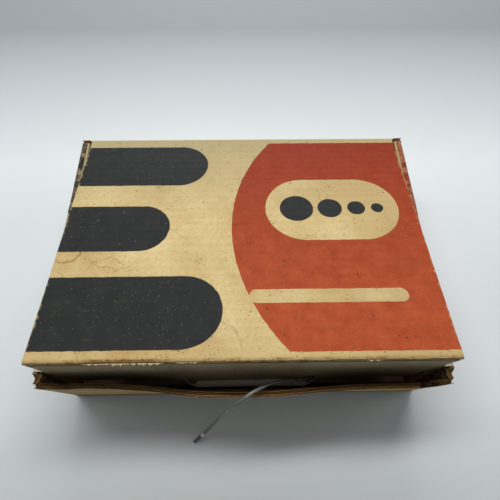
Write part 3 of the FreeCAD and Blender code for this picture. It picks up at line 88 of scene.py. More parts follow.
class Wire:
    """A value in a node tree; Python's arithmetic on it adds Math nodes."""

    def __init__(self, nodes, socket):
        self.nodes = nodes
        self.socket = socket

    def _math(self, operation, *values):
        return self.nodes.node("ShaderNodeMath", {"operation": operation}, dict(enumerate(values)))

    def __add__(self, other):
        return self._math("ADD", self, other)

    def __sub__(self, other):
        return self._math("SUBTRACT", self, other)

    def __rsub__(self, other):
        return self._math("SUBTRACT", other, self)

    def __mul__(self, other):
        return self._math("MULTIPLY", self, other)

    __radd__ = __add__
    __rmul__ = __mul__

    def span(self, low, high, start=0.0, end=1.0):
        """This value mapped from one range to another, clamped."""
        return self.nodes.node("ShaderNodeMapRange", {"clamp": True}, {
            "Value": self, "From Min": low, "From Max": high, "To Min": start, "To Max": end})

    def above(self, level, softness):
        """1 where this is above the level, 0 below it, with a soft step between."""
        return self.span(level - softness, level + softness)

    def below(self, level, softness):
        return 1.0 - self.above(level, softness)

    def larger(self, other):
        return self._math("MAXIMUM", self, other)

    def smaller(self, other):
        return self._math("MINIMUM", self, other)

    def sine(self):
        return self._math("SINE", self)

    def size(self):
        return self._math("ABSOLUTE", self)

    def reach(self, other):
        """The length of the slope whose two sides are this and the other value."""
        return self._math("SQRT", self * self + other * other)

    def clamped(self):
        return self.larger(0.0).smaller(1.0)


class Nodes:
    """A node tree that is filled by code."""

    def __init__(self, tree):
        self.tree = tree

    def node(self, kind, settings=None, values=None, output=0):
        """Add a node: its settings first, then the values or links of its sockets."""
        made = self.tree.nodes.new(kind)
        for key, value in (settings or {}).items():
            setattr(made, key, value)
        for key, value in (values or {}).items():
            self.feed(made.inputs[key], value)
        return Wire(self, made.outputs[output])

    def feed(self, socket, value):
        if isinstance(value, Wire):
            self.tree.links.new(value.socket, socket)
        else:
            socket.default_value = value

    def seen(self):
        """1 for what the camera sees, directly or in metal and glass, and 0 for all other rays."""
        rays = self.node("ShaderNodeLightPath").socket.node.outputs
        kinds = ("Camera", "Glossy", "Transmission")
        return reduce(Wire.larger, [Wire(self, rays[f"Is {kind} Ray"]) for kind in kinds])


class Finish(Nodes):
    """A material made in nodes around one Principled shader."""

    def __init__(self, name):
        self.material = bpy.data.materials.new(name)
        self.material.use_nodes = True
        super().__init__(self.material.node_tree)
        self.shader = self.tree.nodes["Principled BSDF"]
        self.where = self.node("ShaderNodeTexCoord", output="Object")

    def done(self, colour, roughness, normal=None, **others):
        """Feed the shader and give the material; underscores in other names stand for spaces."""
        for key, value in {"Base_Color": colour, "Roughness": roughness, "Normal": normal, **others}.items():
            if value is not None:
                self.feed(self.shader.inputs[key.replace("_", " ")], value)
        return self.material

    def axes(self, vector=None):
        """The three parts of a place."""
        split = self.node("ShaderNodeSeparateXYZ", values={0: vector or self.where}).socket.node
        return [Wire(self, output) for output in split.outputs]

    def stretched(self, x, y, z, vector=None):
        """The place scaled along each axis, which stretches a pattern."""
        place = vector or self.where
        return self.node("ShaderNodeVectorMath", {"operation": "MULTIPLY"}, {0: place, 1: (x, y, z)})

    def clouds(self, scale, detail=4.0, roughness=0.55, vector=None, distortion=0.0):
        """Noise from 0 to 1."""
        return self.node("ShaderNodeTexNoise", values={
            "Vector": vector or self.where, "Scale": scale, "Detail": detail, "Roughness": roughness,
            "Distortion": distortion})

    def cells(self, scale, vector=None, feature="F1"):
        """Distance to scattered points, in cell widths."""
        return self.node("ShaderNodeTexVoronoi", {"feature": feature}, {
            "Vector": vector or self.where, "Scale": scale}, "Distance")

    def coats(self, colour, *layers):
        """A colour under layers, each given as the share that it covers and its own colour."""
        for share, over in layers:
            colour = self.node("ShaderNodeMix", {"data_type": "RGBA"}, {0: share, 6: colour, 7: over}, 2)
        return colour

    def bump(self, height, distance, strength=1.0):
        values = {"Height": height, "Distance": distance, "Strength": strength}
        return self.node("ShaderNodeBump", values=values)


CREAM = srgb(212, 192, 142)
TAN = srgb(184, 158, 107)
BROWN_STAIN = srgb(150, 112, 62)
KRAFT = srgb(168, 128, 78)
DARK_KRAFT = srgb(104, 72, 38)
CUT_EDGE = srgb(128, 98, 46)
PRINT_BLACK = srgb(30, 31, 31)
PRINT_RED = srgb(174, 79, 43)
SKY_SEEN = srgb(212, 218, 222)
FLUTE_PITCH = 7.8 * MM
FLUTE_WAVE = FULL_TURN / FLUTE_PITCH
HOLES_MIDDLE = 4.5 * MM
LIP_FOOT = 60.0 * MM
LIP_TOP = 68.5 * MM
PAPER_SHINE = 0.1


def ribs(flute_axis):
    """The washboard that the flutes press through the liner, from -1 to 1."""
    return (flute_axis * FLUTE_WAVE).sine()


def paper_bump(finish, flute_axis):
    height = finish.clouds(900, 5, 0.6) * 0.25 + ribs(flute_axis) * 0.12 + finish.clouds(18, 2, 0.5) * 0.6
    return finish.bump(height, 0.00035)


def board_colour(finish, pale, dark, flute_axis):
    """Unprinted board: cloudy, flecked with fibres and faintly ribbed by the flutes."""
    flecks = finish.clouds(420, 3, 0.6, finish.stretched(0.35, 1.0, 1.0)).above(0.66, 0.05)
    return finish.coats(
        pale, (finish.clouds(22, 6, 0.6).span(0.35, 0.72), dark), (ribs(flute_axis).span(-1, 1) * 0.16, dark),
        (flecks * 0.35, DARK_KRAFT))


def make_board(name, pale, dark, axes, roughness):
    """Bare brown board, ribbed along the sum of two axes so that walls on either axis show it."""
    finish = Finish(name)
    places = finish.axes()
    flutes = places[axes[0]] + places[axes[1]]
    return finish.done(board_colour(finish, pale, dark, flutes), roughness, paper_bump(finish, flutes))


def make_cut_edge():
    """The torn and cut edges of the board: dark, fibrous and layered."""
    finish = Finish("cut_board_edge")
    grain = finish.clouds(260, 6, 0.7, finish.stretched(0.12, 1.0, 1.0))
    layers = finish.clouds(420, 4, 0.6, finish.stretched(0.05, 1.0, 1.0)).span(0.5, 0.66)
    colour = finish.coats(
        srgb(70, 46, 22), (grain.span(0.38, 0.62), CUT_EDGE), (layers * 0.7, srgb(176, 132, 70)),
        (finish.clouds(30, 4, 0.6).span(0.5, 0.75) * 0.6, srgb(58, 38, 20)),
        (finish.clouds(700, 2).above(0.66, 0.04) * 0.5, srgb(196, 160, 104)))
    return finish.done(colour, 0.95, finish.bump(grain, 0.0006))


def make_flap_board():
    """The tuck flap: the lid's unprinted pale liner, darker towards its foot by painted shade, with a painted
    highlight on its bent lip and painted shade under the lip.
    """
    finish = Finish("flap_board")
    x, _, z = finish.axes()
    aside = (x - HOLES_MIDDLE).size()
    streaks = finish.clouds(60, 4, 0.6, finish.stretched(1.0, 1.0, 0.2))
    middle = aside.below(0.052, 0.006)
    # Painted highlight: the bent lip between the holes is painted near white so that it looks lit.
    lip = z.below(LIP_TOP, 0.0012) * z.above(LIP_FOOT, 0.0008) * middle
    # Painted shade: the flap below its lip is painted dark brown, as if in the lip's shadow.
    underside_shade = z.below(LIP_FOOT, 0.0008) * middle
    # Painted shade: the middle of the flap is darkened towards its foot, where the lid and the front wall
    # shade it.
    foot_shade = z.below(0.1, 0.02) * (1.0 - lip) * aside.below(0.11, 0.03)
    colour = finish.coats(
        board_colour(finish, srgb(166, 150, 118), srgb(132, 116, 84), z),
        (streaks.span(0.5, 0.8) * 0.5, srgb(120, 96, 60)), (foot_shade * 0.5, srgb(104, 82, 48)),
        (lip * streaks.span(0.3, 0.6, 1.0, 0.85), srgb(238, 234, 224)), (underside_shade * 0.9, srgb(58, 44, 28)))
    return finish.done(colour, 0.88, paper_bump(finish, z))


def make_crumpled():
    """Board torn and crushed at the corners: greyed paper with brown showing in its folds."""
    finish = Finish("crumpled_board")
    _, _, z = finish.axes()
    folds = finish.clouds(210, 5, 0.65)
    shreds = finish.clouds(520, 4, 0.7, finish.stretched(1.0, 1.0, 0.5))
    colour = finish.coats(srgb(58, 44, 30), (folds.span(0.36, 0.62), srgb(138, 120, 92)),
                          (shreds.span(0.55, 0.72) * z.span(0.05, 0.09), srgb(186, 174, 150)))
    return finish.done(colour, 0.95, finish.bump(folds + shreds * 0.4, 0.0012))


def make_torn_fluff():
    """Pale fibres that stand where the printed liner is torn."""
    finish = Finish("torn_fluff")
    grain = finish.clouds(600, 4, 0.7)
    colour = finish.coats(srgb(196, 176, 132), (grain.span(0.35, 0.65), srgb(236, 224, 190)))
    return finish.done(colour, 1.0, finish.bump(grain, 0.0003))


# The print's shapes, in millimetres. On the lid: across from its middle, up from its front edge.
# A bar with round ends is given by its middle, half its length and half its height.
TIDE_RINGS = ((-146.0, 96.0, 10.0), (-30.0, 8.0, 27.0), (46.0, 226.0, 22.0))
LID_MARGIN = 5.5
BLACK_BARS = ((-115.5, 199.0, 81.5, 27.0), (-129.5, 121.0, 65.5, 25.0), (-108.5, 40.0, 92.5, 31.0))
RED_DISC = (168.0, 122.0, 178.0)
CREAM_BARS = ((80.0, 142.0, 60.0, 36.0), (66.0, 52.0, 62.0, 6.0))
DOTS = ((48.0, 142.0, 15.0), (78.0, 142.0, 11.0), (102.0, 142.0, 8.0), (121.0, 142.0, 5.5))

# Where print begins on the side walls, and the walls' own sizes, in metres
PRINT_FOOT = 0.024
PRINT_SOFTNESS = 0.0003
SIDE_FACE = 0.1588
WALL_HEIGHT = 0.0985
HALF_FRONT = 0.163
HALF_SIDE = 0.118
# Past every place on the carton, for a mask that is nowhere
BEYOND = 2.0


def bar(across, along, x, y, half_length, half_height):
    """How far a place lies outside a bar with round ends, in metres."""
    beyond = ((across - x * MM).size() - (half_length - half_height) * MM).larger(0.0)
    return beyond.reach(along - y * MM) - half_height * MM


def disc(across, along, x, y, radius):
    return (across - x * MM).reach(along - y * MM) - radius * MM


def printed(finish, across, along, depth):
    """The lid's generic print: black bars, a red field with a round edge, a cream bar with dots."""
    wobble = (finish.clouds(140, 3) - 0.5) * (1.2 * MM)

    def inside(shape, numbers):
        outside = reduce(Wire.smaller, [shape(across, along, *each) for each in numbers])
        return (outside + wobble).below(0.0, 0.15 * MM)

    margin = (along - (LID_MARGIN + 1.0) * MM).smaller(depth - LID_MARGIN * MM - along)
    field = (margin + wobble).above(0.0, 0.15 * MM)
    bare = inside(bar, CREAM_BARS)
    red = inside(disc, [RED_DISC]) * (1.0 - bare)
    black = (inside(bar, BLACK_BARS) * (1.0 - red)).larger(inside(disc, DOTS) * bare)
    return black * field, red * field


def worn_print(finish, across, along, black, red, half_width, depth, flutes):
    """Cream board under worn ink: chips, rubbed flutes, stains, tide lines, hairline cracks and dust, with
    painted shade that greys the board and darkens the red towards the far end of along.
    """
    place = finish.node("ShaderNodeCombineXYZ", values={0: across, 1: along})

    def clouds(scale, detail, roughness=0.6, distortion=0.0):
        return finish.clouds(scale, detail, roughness, place, distortion)

    lines = ribs(flutes)
    cloud = clouds(14, 6)
    fine = clouds(75, 5, 0.65)
    mottle = finish.clouds(300, 5, 0.7, finish.stretched(1.0, 1.4, 1.0, place))
    grime = clouds(9, 7, 0.68, 0.6).span(0.5, 0.74)
    smoked = clouds(34, 5, 0.65).span(0.46, 0.74)
    noisy = {"Vector": place, "Scale": 70.0, "Detail": 5.0}
    shaken = finish.node("ShaderNodeTexNoise", values=noisy, output="Color")
    shaken = finish.node("ShaderNodeVectorMath", {"operation": "SCALE"}, {0: shaken, "Scale": 0.009})
    shaken = finish.node("ShaderNodeVectorMath", {"operation": "ADD"}, {0: place, 1: shaken})
    cracks = finish.cells(48, shaken, "DISTANCE_TO_EDGE").below(0.014, 0.012)
    cracks = cracks * clouds(21, 3, 0.5).above(0.6, 0.07)
    drift = (clouds(40, 4) - 0.5) * 0.016
    rings = [(disc(across, along, *ring) + drift).size().below(0.0006, 0.0005) for ring in TIDE_RINGS]
    tide = reduce(Wire.larger, rings) * clouds(60, 3, 0.5).span(0.35, 0.6)
    # The gradient along the far end of along is painted shade: the board greys towards the lid's back.
    base = finish.coats(
        CREAM, (cloud.span(0.35, 0.7), TAN), (mottle.span(0.42, 0.72) * 0.5, srgb(176, 146, 92)),
        (grime * 0.7, BROWN_STAIN), (smoked * 0.45, srgb(182, 152, 100)),
        (along.span(depth * 0.55, depth) * 0.85, srgb(160, 147, 112)),
        (along.below(0.016, 0.018) * 0.4, srgb(172, 142, 88)),
        (across.span(0.02, 0.13) * cloud.span(0.3, 0.6, 0.35, 0.75), srgb(176, 150, 102)),
        (cracks * 0.5, srgb(122, 88, 46)), (tide * 0.8, srgb(118, 84, 44)),
        (lines.span(0.2, 1.0) * 0.05, BROWN_STAIN))

    rubbed = lines.span(0.6, 1.0) * clouds(90, 5).span(0.56, 0.8) * 0.08
    chips = clouds(420, 4, 0.7).above(0.7, 0.02)
    near_edge = (half_width - across.size()).smaller(along).smaller(depth - along)
    edge_wear = (near_edge + (clouds(160, 5, 0.7) - 0.5) * 0.009).below(0.0, 0.0009)
    ink_left = 1.0 - (rubbed + chips * 0.8 + edge_wear * 0.8).clamped()
    black_ink = finish.coats(PRINT_BLACK, (fine.span(0.3, 0.75), srgb(42, 44, 42)))
    # The gradient along the far end of along is painted shade: the red darkens towards the lid's back.
    red_ink = finish.coats(
        PRINT_RED, (fine.span(0.3, 0.75), srgb(149, 60, 30)),
        (mottle.span(0.5, 0.75) * 0.35, srgb(120, 46, 26)), (smoked * 0.3, srgb(150, 74, 46)),
        (along.span(depth * 0.2, depth) * 0.8, srgb(117, 30, 13)), (grime * 0.25, srgb(120, 56, 36)))

    inked = black.larger(red)
    specks = finish.cells(150, place).below(0.12, 0.05) * fine.above(0.55, 0.03)
    grit = finish.cells(430, place).below(0.2, 0.05) * clouds(85, 3).above(0.53, 0.06)
    grit = grit * along.below(0.013, 0.005)
    dust = finish.cells(340, place).below(0.1, 0.04) * cloud.above(0.52, 0.05) * inked
    pepper = finish.cells(310, place).below(0.17, 0.06) * clouds(44, 4).above(0.52, 0.07) * (1.0 - black)
    colour = finish.coats(
        base, (red * ink_left, red_ink), (black * ink_left, black_ink), (specks * 0.7, srgb(62, 44, 28)),
        (grit * 0.8, srgb(66, 48, 28)), (dust * 0.35, srgb(186, 174, 150)), (pepper * 0.7, srgb(84, 60, 38)))
    return colour, 0.86 - inked * ink_left * 0.22 + (fine - 0.5) * 0.12


def make_lid_print(settings):
    """The lid's printed liner, laid out on its own UV map, torn and scuffed along its front crease, with
    painted shade on the crease.
    """
    finish = Finish("lid_print")
    across, along, _ = finish.axes(finish.node("ShaderNodeUVMap", {"uv_map": "print"}))
    half_width, depth = settings.lid_width / 2, settings.lid_depth
    black, red = printed(finish, across, along, depth)
    colour, roughness = worn_print(finish, across, along, black, red, half_width, depth, along)
    fine = finish.clouds(320, 4, 0.65)
    crease = (along + (fine - 0.5) * 0.0032).below(0.0024, 0.0006)
    torn = crease * (across + (fine - 0.5) * 0.012).above(-0.112, 0.006) * across.below(-0.056, 0.01)
    scuffed = crease * finish.clouds(130, 4, 0.7).above(0.55, 0.05) * 0.7
    bare = finish.coats(srgb(96, 68, 34), (fine.span(0.3, 0.7), srgb(146, 110, 60)))
    # Painted shade: the rolled front crease is painted darker, as if shaded.
    shade = along.below(0.0022, 0.001) * 0.35
    colour = finish.coats(colour, (torn.larger(scuffed), bare), (shade, srgb(120, 96, 58)))
    height = ribs(along) * 0.1 + finish.clouds(900, 4, 0.6) * 0.2 + finish.clouds(24, 3, 0.5) * 0.6
    return finish.done(colour, roughness, finish.bump(height, 0.0005), Specular_IOR_Level=PAPER_SHINE)


def make_side_print(name, red_side):
    """A side wall's print: flat colour over the roll and down the outside, none inside."""
    finish = Finish(name)
    x, y, z = finish.axes()
    nowhere = y.above(BEYOND, 0.5)
    wobble = (finish.clouds(120, 3) - 0.5) * (1.6 * MM)
    field = (z + wobble).above(PRINT_FOOT, PRINT_SOFTNESS) * x.size().above(SIDE_FACE, PRINT_SOFTNESS)
    black, red = nowhere, field
    if not red_side:
        shaken = y + wobble
        black = shaken.above(0.030, PRINT_SOFTNESS).larger(shaken.below(-0.004, PRINT_SOFTNESS)) * field
        red = nowhere
    colour, roughness = worn_print(finish, y, z, black, red, HALF_SIDE, WALL_HEIGHT, y)
    top_rub = z.above(0.0958, 0.001) * finish.clouds(140, 5, 0.7).span(0.45, 0.62)
    ragged = finish.clouds(240, 4, 0.6)
    torn_end = (y + (ragged - 0.5) * 0.007).below(-0.1085, 0.001) * z.above(0.084, 0.003)
    bare = finish.coats(srgb(168, 152, 122), (ragged.span(0.35, 0.65), srgb(222, 214, 194)))
    colour = finish.coats(colour, (top_rub * 0.5, srgb(170, 146, 110)), (torn_end * 0.9, bare))
    return finish.done(colour, roughness, paper_bump(finish, y), Specular_IOR_Level=PAPER_SHINE)


def make_pale_outside():
    """The carton's outside without print: cream, scuffed and water marked near the table."""
    finish = Finish("pale_outside")
    x, _, z = finish.axes()
    nowhere = z.above(BEYOND, 0.5)
    colour, roughness = worn_print(finish, x, z, nowhere, nowhere, HALF_FRONT, WALL_HEIGHT, z)
    damp = (z + (finish.clouds(20, 4) - 0.5) * 0.03).below(0.014, 0.004)
    colour = finish.coats(colour, (damp * 0.35, srgb(132, 104, 66)))
    return finish.done(colour, roughness, paper_bump(finish, z), Specular_IOR_Level=PAPER_SHINE)


def toned(colour, factor, lift=0.0):
    """A colour made darker or lighter."""
    return (*(min(level * factor + lift, 1.0) for level in colour[:3]), 1.0)


def make_enamel(name, colour, grain=1400, depth=0.00012, roughness=0.42):
    """Stoved enamel with a fine crinkle."""
    finish = Finish(name)
    cloud = finish.clouds(35, 4)
    dust = finish.clouds(160, 4, 0.7).above(0.67, 0.04)
    shade = finish.coats(
        colour, (cloud.span(0.35, 0.7), toned(colour, 0.78)), (dust * 0.25, srgb(198, 192, 178)))
    sheen = cloud.span(0.3, 0.7, roughness - 0.06, roughness + 0.12)
    return finish.done(shade, sheen, finish.bump(finish.cells(grain), depth, 0.6))


def make_steel(name, colour, roughness):
    """Turned or plated metal with fine tool marks."""
    finish = Finish(name)
    marks = finish.clouds(120, 5, 0.6, finish.stretched(1.0, 1.0, 30.0))
    shade = finish.coats(colour, (finish.clouds(30, 4).span(0.45, 0.8) * 0.5, toned(colour, 0.6)))
    sheen = marks.span(0.3, 0.7, roughness - 0.05, roughness + 0.1)
    return finish.done(shade, sheen, finish.bump(marks, 0.00003), Metallic=1.0)


def make_plastic(name, colour, roughness=0.35):
    """Moulded plastic with a faint flow pattern and fine scratches."""
    finish = Finish(name)
    flow = finish.clouds(60, 3, 0.5)
    scratch = finish.clouds(300, 4, 0.7, finish.stretched(1.0, 8.0, 1.0)).above(0.68, 0.03)
    shade = finish.coats(colour, (flow.span(0.4, 0.7) * 0.5, toned(colour, 1.25, 0.01)))
    return finish.done(shade, scratch.span(0, 1, roughness, roughness + 0.25), finish.bump(flow, 0.00005))


def make_rubber():
    finish = Finish("black_rubber")
    grain = finish.clouds(700, 4)
    shade = finish.coats(srgb(38, 37, 36), (grain.span(0.4, 0.7), srgb(62, 60, 57)))
    return finish.done(shade, 0.85, finish.bump(grain, 0.0001))


def make_glass(name, colour, roughness):
    finish = Finish(name)
    sheen = finish.clouds(50, 3).span(0.4, 0.8, roughness, roughness + 0.08)
    return finish.done(colour, sheen, Transmission_Weight=0.85, IOR=1.5)


def make_ground_glass():
    finish = Finish("ground_glass")
    grain = finish.clouds(1500, 2)
    shade = finish.coats(srgb(206, 210, 208), (grain, srgb(222, 225, 222)))
    return finish.done(shade, 0.55, finish.bump(grain, 0.00005), Transmission_Weight=0.25, IOR=1.5)


def make_mirror():
    finish = Finish("mirror_glass")
    return finish.done(srgb(226, 230, 232), finish.clouds(45, 4).span(0.5, 0.8, 0.03, 0.2), Metallic=1.0)


def make_cord_grey():
    """The handle cord's smooth grey sleeve, dusty in patches."""
    finish = Finish("grey_cord")
    grime = finish.clouds(160, 4, 0.6)
    shade = finish.coats(srgb(112, 114, 113), (grime.span(0.4, 0.7), srgb(88, 90, 89)))
    return finish.done(shade, grime.span(0.3, 0.7, 0.16, 0.3), finish.bump(grime, 0.00004))


MATERIALS = {}


def make_materials(settings):
    MATERIALS.update({
        "raw_board": make_board("kraft_board", KRAFT, srgb(140, 102, 58), (1, 2), 0.9),
        "packing_board": make_board("packing_board", srgb(98, 74, 48), srgb(76, 56, 35), (0, 1), 0.92),
        "crumpled": make_crumpled(),
        "cut_edge": make_cut_edge(),
        "flap_board": make_flap_board(),
        "fluff": make_torn_fluff(),
        "lid_print": make_lid_print(settings),
        "side_print_left": make_side_print("side_print_left", False),
        "side_print_right": make_side_print("side_print_right", True),
        "pale_outside": make_pale_outside(),
        "grey_cord": make_cord_grey(),
        "white_collar": make_plastic("white_collar", srgb(214, 214, 208), 0.4),
        "dark_tip": make_steel("dark_tip", srgb(70, 72, 76), 0.35),
        "grey_enamel": make_enamel("grey_enamel", srgb(122, 128, 126)),
        "pale_enamel": make_enamel("pale_enamel", srgb(196, 194, 180), 1800, 0.00008, 0.38),
        "black_enamel": make_enamel("black_enamel", srgb(40, 41, 42), 1600, 0.0001, 0.45),
        "black_plastic": make_plastic("black_plastic", srgb(30, 30, 31)),
        "pale_plastic": make_plastic("pale_plastic", srgb(206, 200, 184)),
        "bright_steel": make_steel("bright_steel", srgb(206, 208, 208), 0.2),
        "satin_steel": make_steel("satin_steel", srgb(176, 178, 178), 0.36),
        "brass": make_steel("brass", srgb(206, 168, 92), 0.28),
        "black_rubber": make_rubber(),
        "clear_glass": make_glass("clear_glass", srgb(244, 248, 248), 0.02),
        "ground_glass": make_ground_glass(),
        "mirror_glass": make_mirror(),
    })


# Modelling helpers

def deselect():
    bpy.ops.object.select_all(action="DESELECT")


def pick(*pieces):
    """Select these pieces alone, the first one active."""
    deselect()
    for piece in pieces:
        piece.select_set(True)
    bpy.context.view_layer.objects.active = pieces[0]


def apply_modifier(piece, kind, **settings):
    pick(piece)
    bpy.ops.object.modifier_add(type=kind)
    modifier = piece.modifiers[-1]
    for key, value in settings.items():
        setattr(modifier, key, value)
    bpy.ops.object.modifier_apply(modifier=modifier.name)


def join_pieces(name, pieces):
    pick(*pieces)
    if len(pieces) > 1:
        bpy.ops.object.join()
    piece = bpy.context.object
    piece.name = name
    piece.data.name = name
    return piece


def smooth(piece, degrees=35):
    pick(piece)
    bpy.ops.object.shade_smooth_by_angle(angle=math.radians(degrees))


def settle(piece):
    """Bake the object's own place into its mesh."""
    pick(piece)
    bpy.ops.object.transform_apply(location=True, rotation=True, scale=True)
    return piece


def dress(piece, body, slot, *nodes):
    """Tie a finished piece to its body and hide the nodes that it stands for; its material slot is not used.
    """
    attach(piece, body)
    if nodes:
        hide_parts(*nodes)


# Boards: liner, fluted medium and liner

BOARD = 4 * MM
LINER = 0.45 * MM
MEDIUM = 0.28 * MM
# A folded crease's outer radius, then the middles of a liner and of a flute's crest, from the board's middle
ROLL = BOARD / 2
SKIN = ROLL - LINER / 2
CREST = ROLL - LINER - MEDIUM / 2
FLUTE_CELLS = 8
BARE = ("raw_board", "raw_board", "cut_edge")


def end_at(end, measure):
    """A sheet's end, which is a number or a function of the other measure."""
    return end(measure) if callable(end) else end


def ply(name, cells, across, along, place, height, thickness=LINER, materials=BARE, hole=None):
    """One sheet of a board, laid out by place(across, along, height).

    across and along are (low, high) pairs of ends. materials are the sheet's face, back and rim.
    """
    deselect()
    bpy.ops.mesh.primitive_grid_add(x_subdivisions=cells[0], y_subdivisions=cells[1], size=1)
    piece = bpy.context.object
    piece.name = name
    mesh = piece.data
    mesh.uv_layers[0].name = "print"
    spots = []
    for vertex in mesh.vertices:
        s = vertex.co.x + 0.5
        t = vertex.co.y + 0.5
        v = end_at(along[0], 0.0) * (1 - t) + end_at(along[1], 0.0) * t
        low = end_at(across[0], v)
        u = low + s * (end_at(across[1], v) - low)
        low = end_at(along[0], u)
        spots.append((u, low + t * (end_at(along[1], u) - low)))
    mark_spots(piece, spots)
    if hole:
        open_holes(piece, spots, *hole)
        spots = spots_of(piece)
    mesh = piece.data
    for vertex, (u, v) in zip(mesh.vertices, spots):
        vertex.co = place(u, v, height)
    mesh.update()
    face = mesh.polygons[len(mesh.polygons) // 2]
    u, v = spots[face.vertices[0]]
    if face.normal.dot(place(u, v, height + MM) - place(u, v, height)) < 0:
        pick(piece)
        bpy.ops.object.mode_set(mode="EDIT")
        bpy.ops.mesh.select_all(action="SELECT")
        bpy.ops.mesh.flip_normals()
        bpy.ops.object.mode_set(mode="OBJECT")
    for material in materials:
        mesh.materials.append(MATERIALS[material])
    apply_modifier(piece, "SOLIDIFY", thickness=thickness, offset=0.0, material_offset=1,
                   material_offset_rim=2)
    return piece


def mark_spots(piece, spots):
    """Keep each vertex's place on the sheet in the piece's UV map."""
    grid = piece.data.uv_layers["print"].data
    for loop in piece.data.loops:
        grid[loop.index].uv = spots[loop.vertex_index]


def spots_of(piece):
    """Each vertex's place on the sheet, read back from its UV map."""
    spots = [None] * len(piece.data.vertices)
    grid = piece.data.uv_layers["print"].data
    for loop in piece.data.loops:
        spots[loop.vertex_index] = tuple(grid[loop.index].uv)
    return spots


def open_holes(piece, spots, centres, radius):
    """Open slightly torn round holes in a sheet that is still flat."""
    mesh = piece.data
    pick(piece)
    bpy.ops.object.mode_set(mode="EDIT")
    bpy.ops.mesh.select_all(action="DESELECT")
    bpy.ops.object.mode_set(mode="OBJECT")
    for vertex, (u, v) in zip(mesh.vertices, spots):
        vertex.select = any(math.hypot(u - x, v - y) < radius for x, y in centres)
    bpy.ops.object.mode_set(mode="EDIT")
    bpy.ops.mesh.delete(type="VERT")
    bpy.ops.mesh.select_all(action="SELECT")
    bpy.ops.mesh.region_to_loop()
    bpy.ops.object.mode_set(mode="OBJECT")
    spots = spots_of(piece)
    for vertex in mesh.vertices:
        u, v = spots[vertex.index]
        for x, y in centres:
            reach = math.hypot(u - x, v - y)
            if vertex.select and reach < radius * 1.9:
                torn = radius * (1.0 + 0.10 * rough(u * 900, v * 900)) / reach
                spots[vertex.index] = (x + (u - x) * torn, y + (v - y) * torn)
    mark_spots(piece, spots)


def turned_over(place):
    return lambda u, v, w: place(u, v, -w)


def fluted(name, cells, across, along, place, hole=None):
    """The waved middle of a board, its flutes running across."""
    def waved(u, v, w):
        return place(u, v, CREST * math.sin(v * FLUTE_WAVE))

    return ply(name, cells, across, along, waved, 0.0, MEDIUM, hole=hole)


def corrugated(name, across, along, place, cells, face, back="raw_board", hole=None, setback=0.8 * MM):
    """A board of three plies whose flutes run across, with its raw edges open.

    The medium stands a little behind the liners' edges, as in a cut board.
    """
    def pulled(ends):
        low, high = ends
        first = (lambda m: low(m) + setback) if callable(low) else low + setback
        last = (lambda m: high(m) - setback) if callable(high) else high - setback
        return first, last

    length = end_at(along[1], 0.0) - end_at(along[0], 0.0)
    medium_cells = (max(cells[0] // 2, 4), max(int(length / FLUTE_PITCH * FLUTE_CELLS), 8))
    pieces = []
    for side, way, material in (("face", place, face), ("back", turned_over(place), back)):
        pieces.append(ply(f"{name}_{side}", cells, across, along, way, SKIN, LINER,
                          (material, "raw_board", "cut_edge"), hole))
    return [*pieces, fluted(name + "_medium", medium_cells, pulled(across), pulled(along), place, hole)]


def flake(name, root, outward, sideways, length, seed):
    """A torn scrap of liner: narrow, ragged and curled away from its root."""
    lift = outward.cross(sideways).normalized()
    curl = 0.6
    half = 1.1 * MM

    def place(u, v, w):
        share = v / length
        reach = math.sin(curl * share) / curl * length
        rise = (1 - math.cos(curl * share)) / curl * length
        narrow = 1.0 - 0.55 * share + 0.25 * rough(u * 2000, v * 2000, seed)
        return root + sideways * u * narrow + outward * reach + lift * (rise + w)

    materials = ("raw_board", "fluff", "fluff")
    return ply(name, (4, 6), (-half, half), (0.0, length), place, 0.0, 0.2 * MM, materials)


# Operators: one for each piece or group of like pieces

class CartonSettings(bpy.types.PropertyGroup):
    """Sizes of the carton that a user would change."""

    lid_width: FloatProperty(name="Lid width", description="Width of the lid panel", default=0.3095,
                             unit="LENGTH")
    lid_depth: FloatProperty(name="Lid depth", description="Printed depth of the lid panel", default=0.2364,
                             unit="LENGTH")
    lid_lift: FloatProperty(name="Lid lift", description="How far the lid stands open",
                            default=math.radians(8.9), subtype="ANGLE")
    flap_tuck: FloatProperty(name="Flap tuck", description="How far the tuck flap's foot leans in",
                             default=math.radians(2), subtype="ANGLE")
    warp: FloatProperty(name="Board warp", description="How far the lid's board sags between its flutes",
                        default=0.0006, unit="LENGTH")


class StageSettings(bpy.types.PropertyGroup):
    """Camera, floor and light."""

    camera_place: FloatVectorProperty(name="Camera place", description="Where the camera stands",
                                      default=(0.001137, -0.17740, 0.42439), subtype="TRANSLATION")
    camera_pitch: FloatProperty(name="Pitch", description="How far the camera looks down",
                                default=math.radians(62.912), subtype="ANGLE")
    camera_yaw: FloatProperty(name="Yaw", description="How far the camera turns to its left",
                              default=math.radians(-1.572), subtype="ANGLE")
    camera_roll: FloatProperty(name="Roll", description="How far the camera tilts",
                               default=math.radians(0.814), subtype="ANGLE")
    focal_length: FloatProperty(name="Focal length", description="Camera's focal length in millimetres",
                                default=29.557)
    floor_colour: FloatVectorProperty(name="Floor", description="Colour of the floor",
                                      default=srgb(216, 220, 221), size=4, subtype="COLOR")
    # Painted shade: the floor behind the object is darkened like a backdrop that the light does not reach.
    far_shade_colour: FloatVectorProperty(name="Far floor", description="Colour of the floor behind the object",
                                    default=srgb(140, 146, 150), size=4, subtype="COLOR")
    sky_strength: FloatProperty(name="Sky", description="Strength of the light from all round", default=0.12)
    # Painted shade: the floor before the object is darkened towards the camera.
    near_shade_colour: FloatVectorProperty(name="Near floor", description="Colour of the floor before the object",
                                     default=srgb(190, 194, 194), size=4, subtype="COLOR")


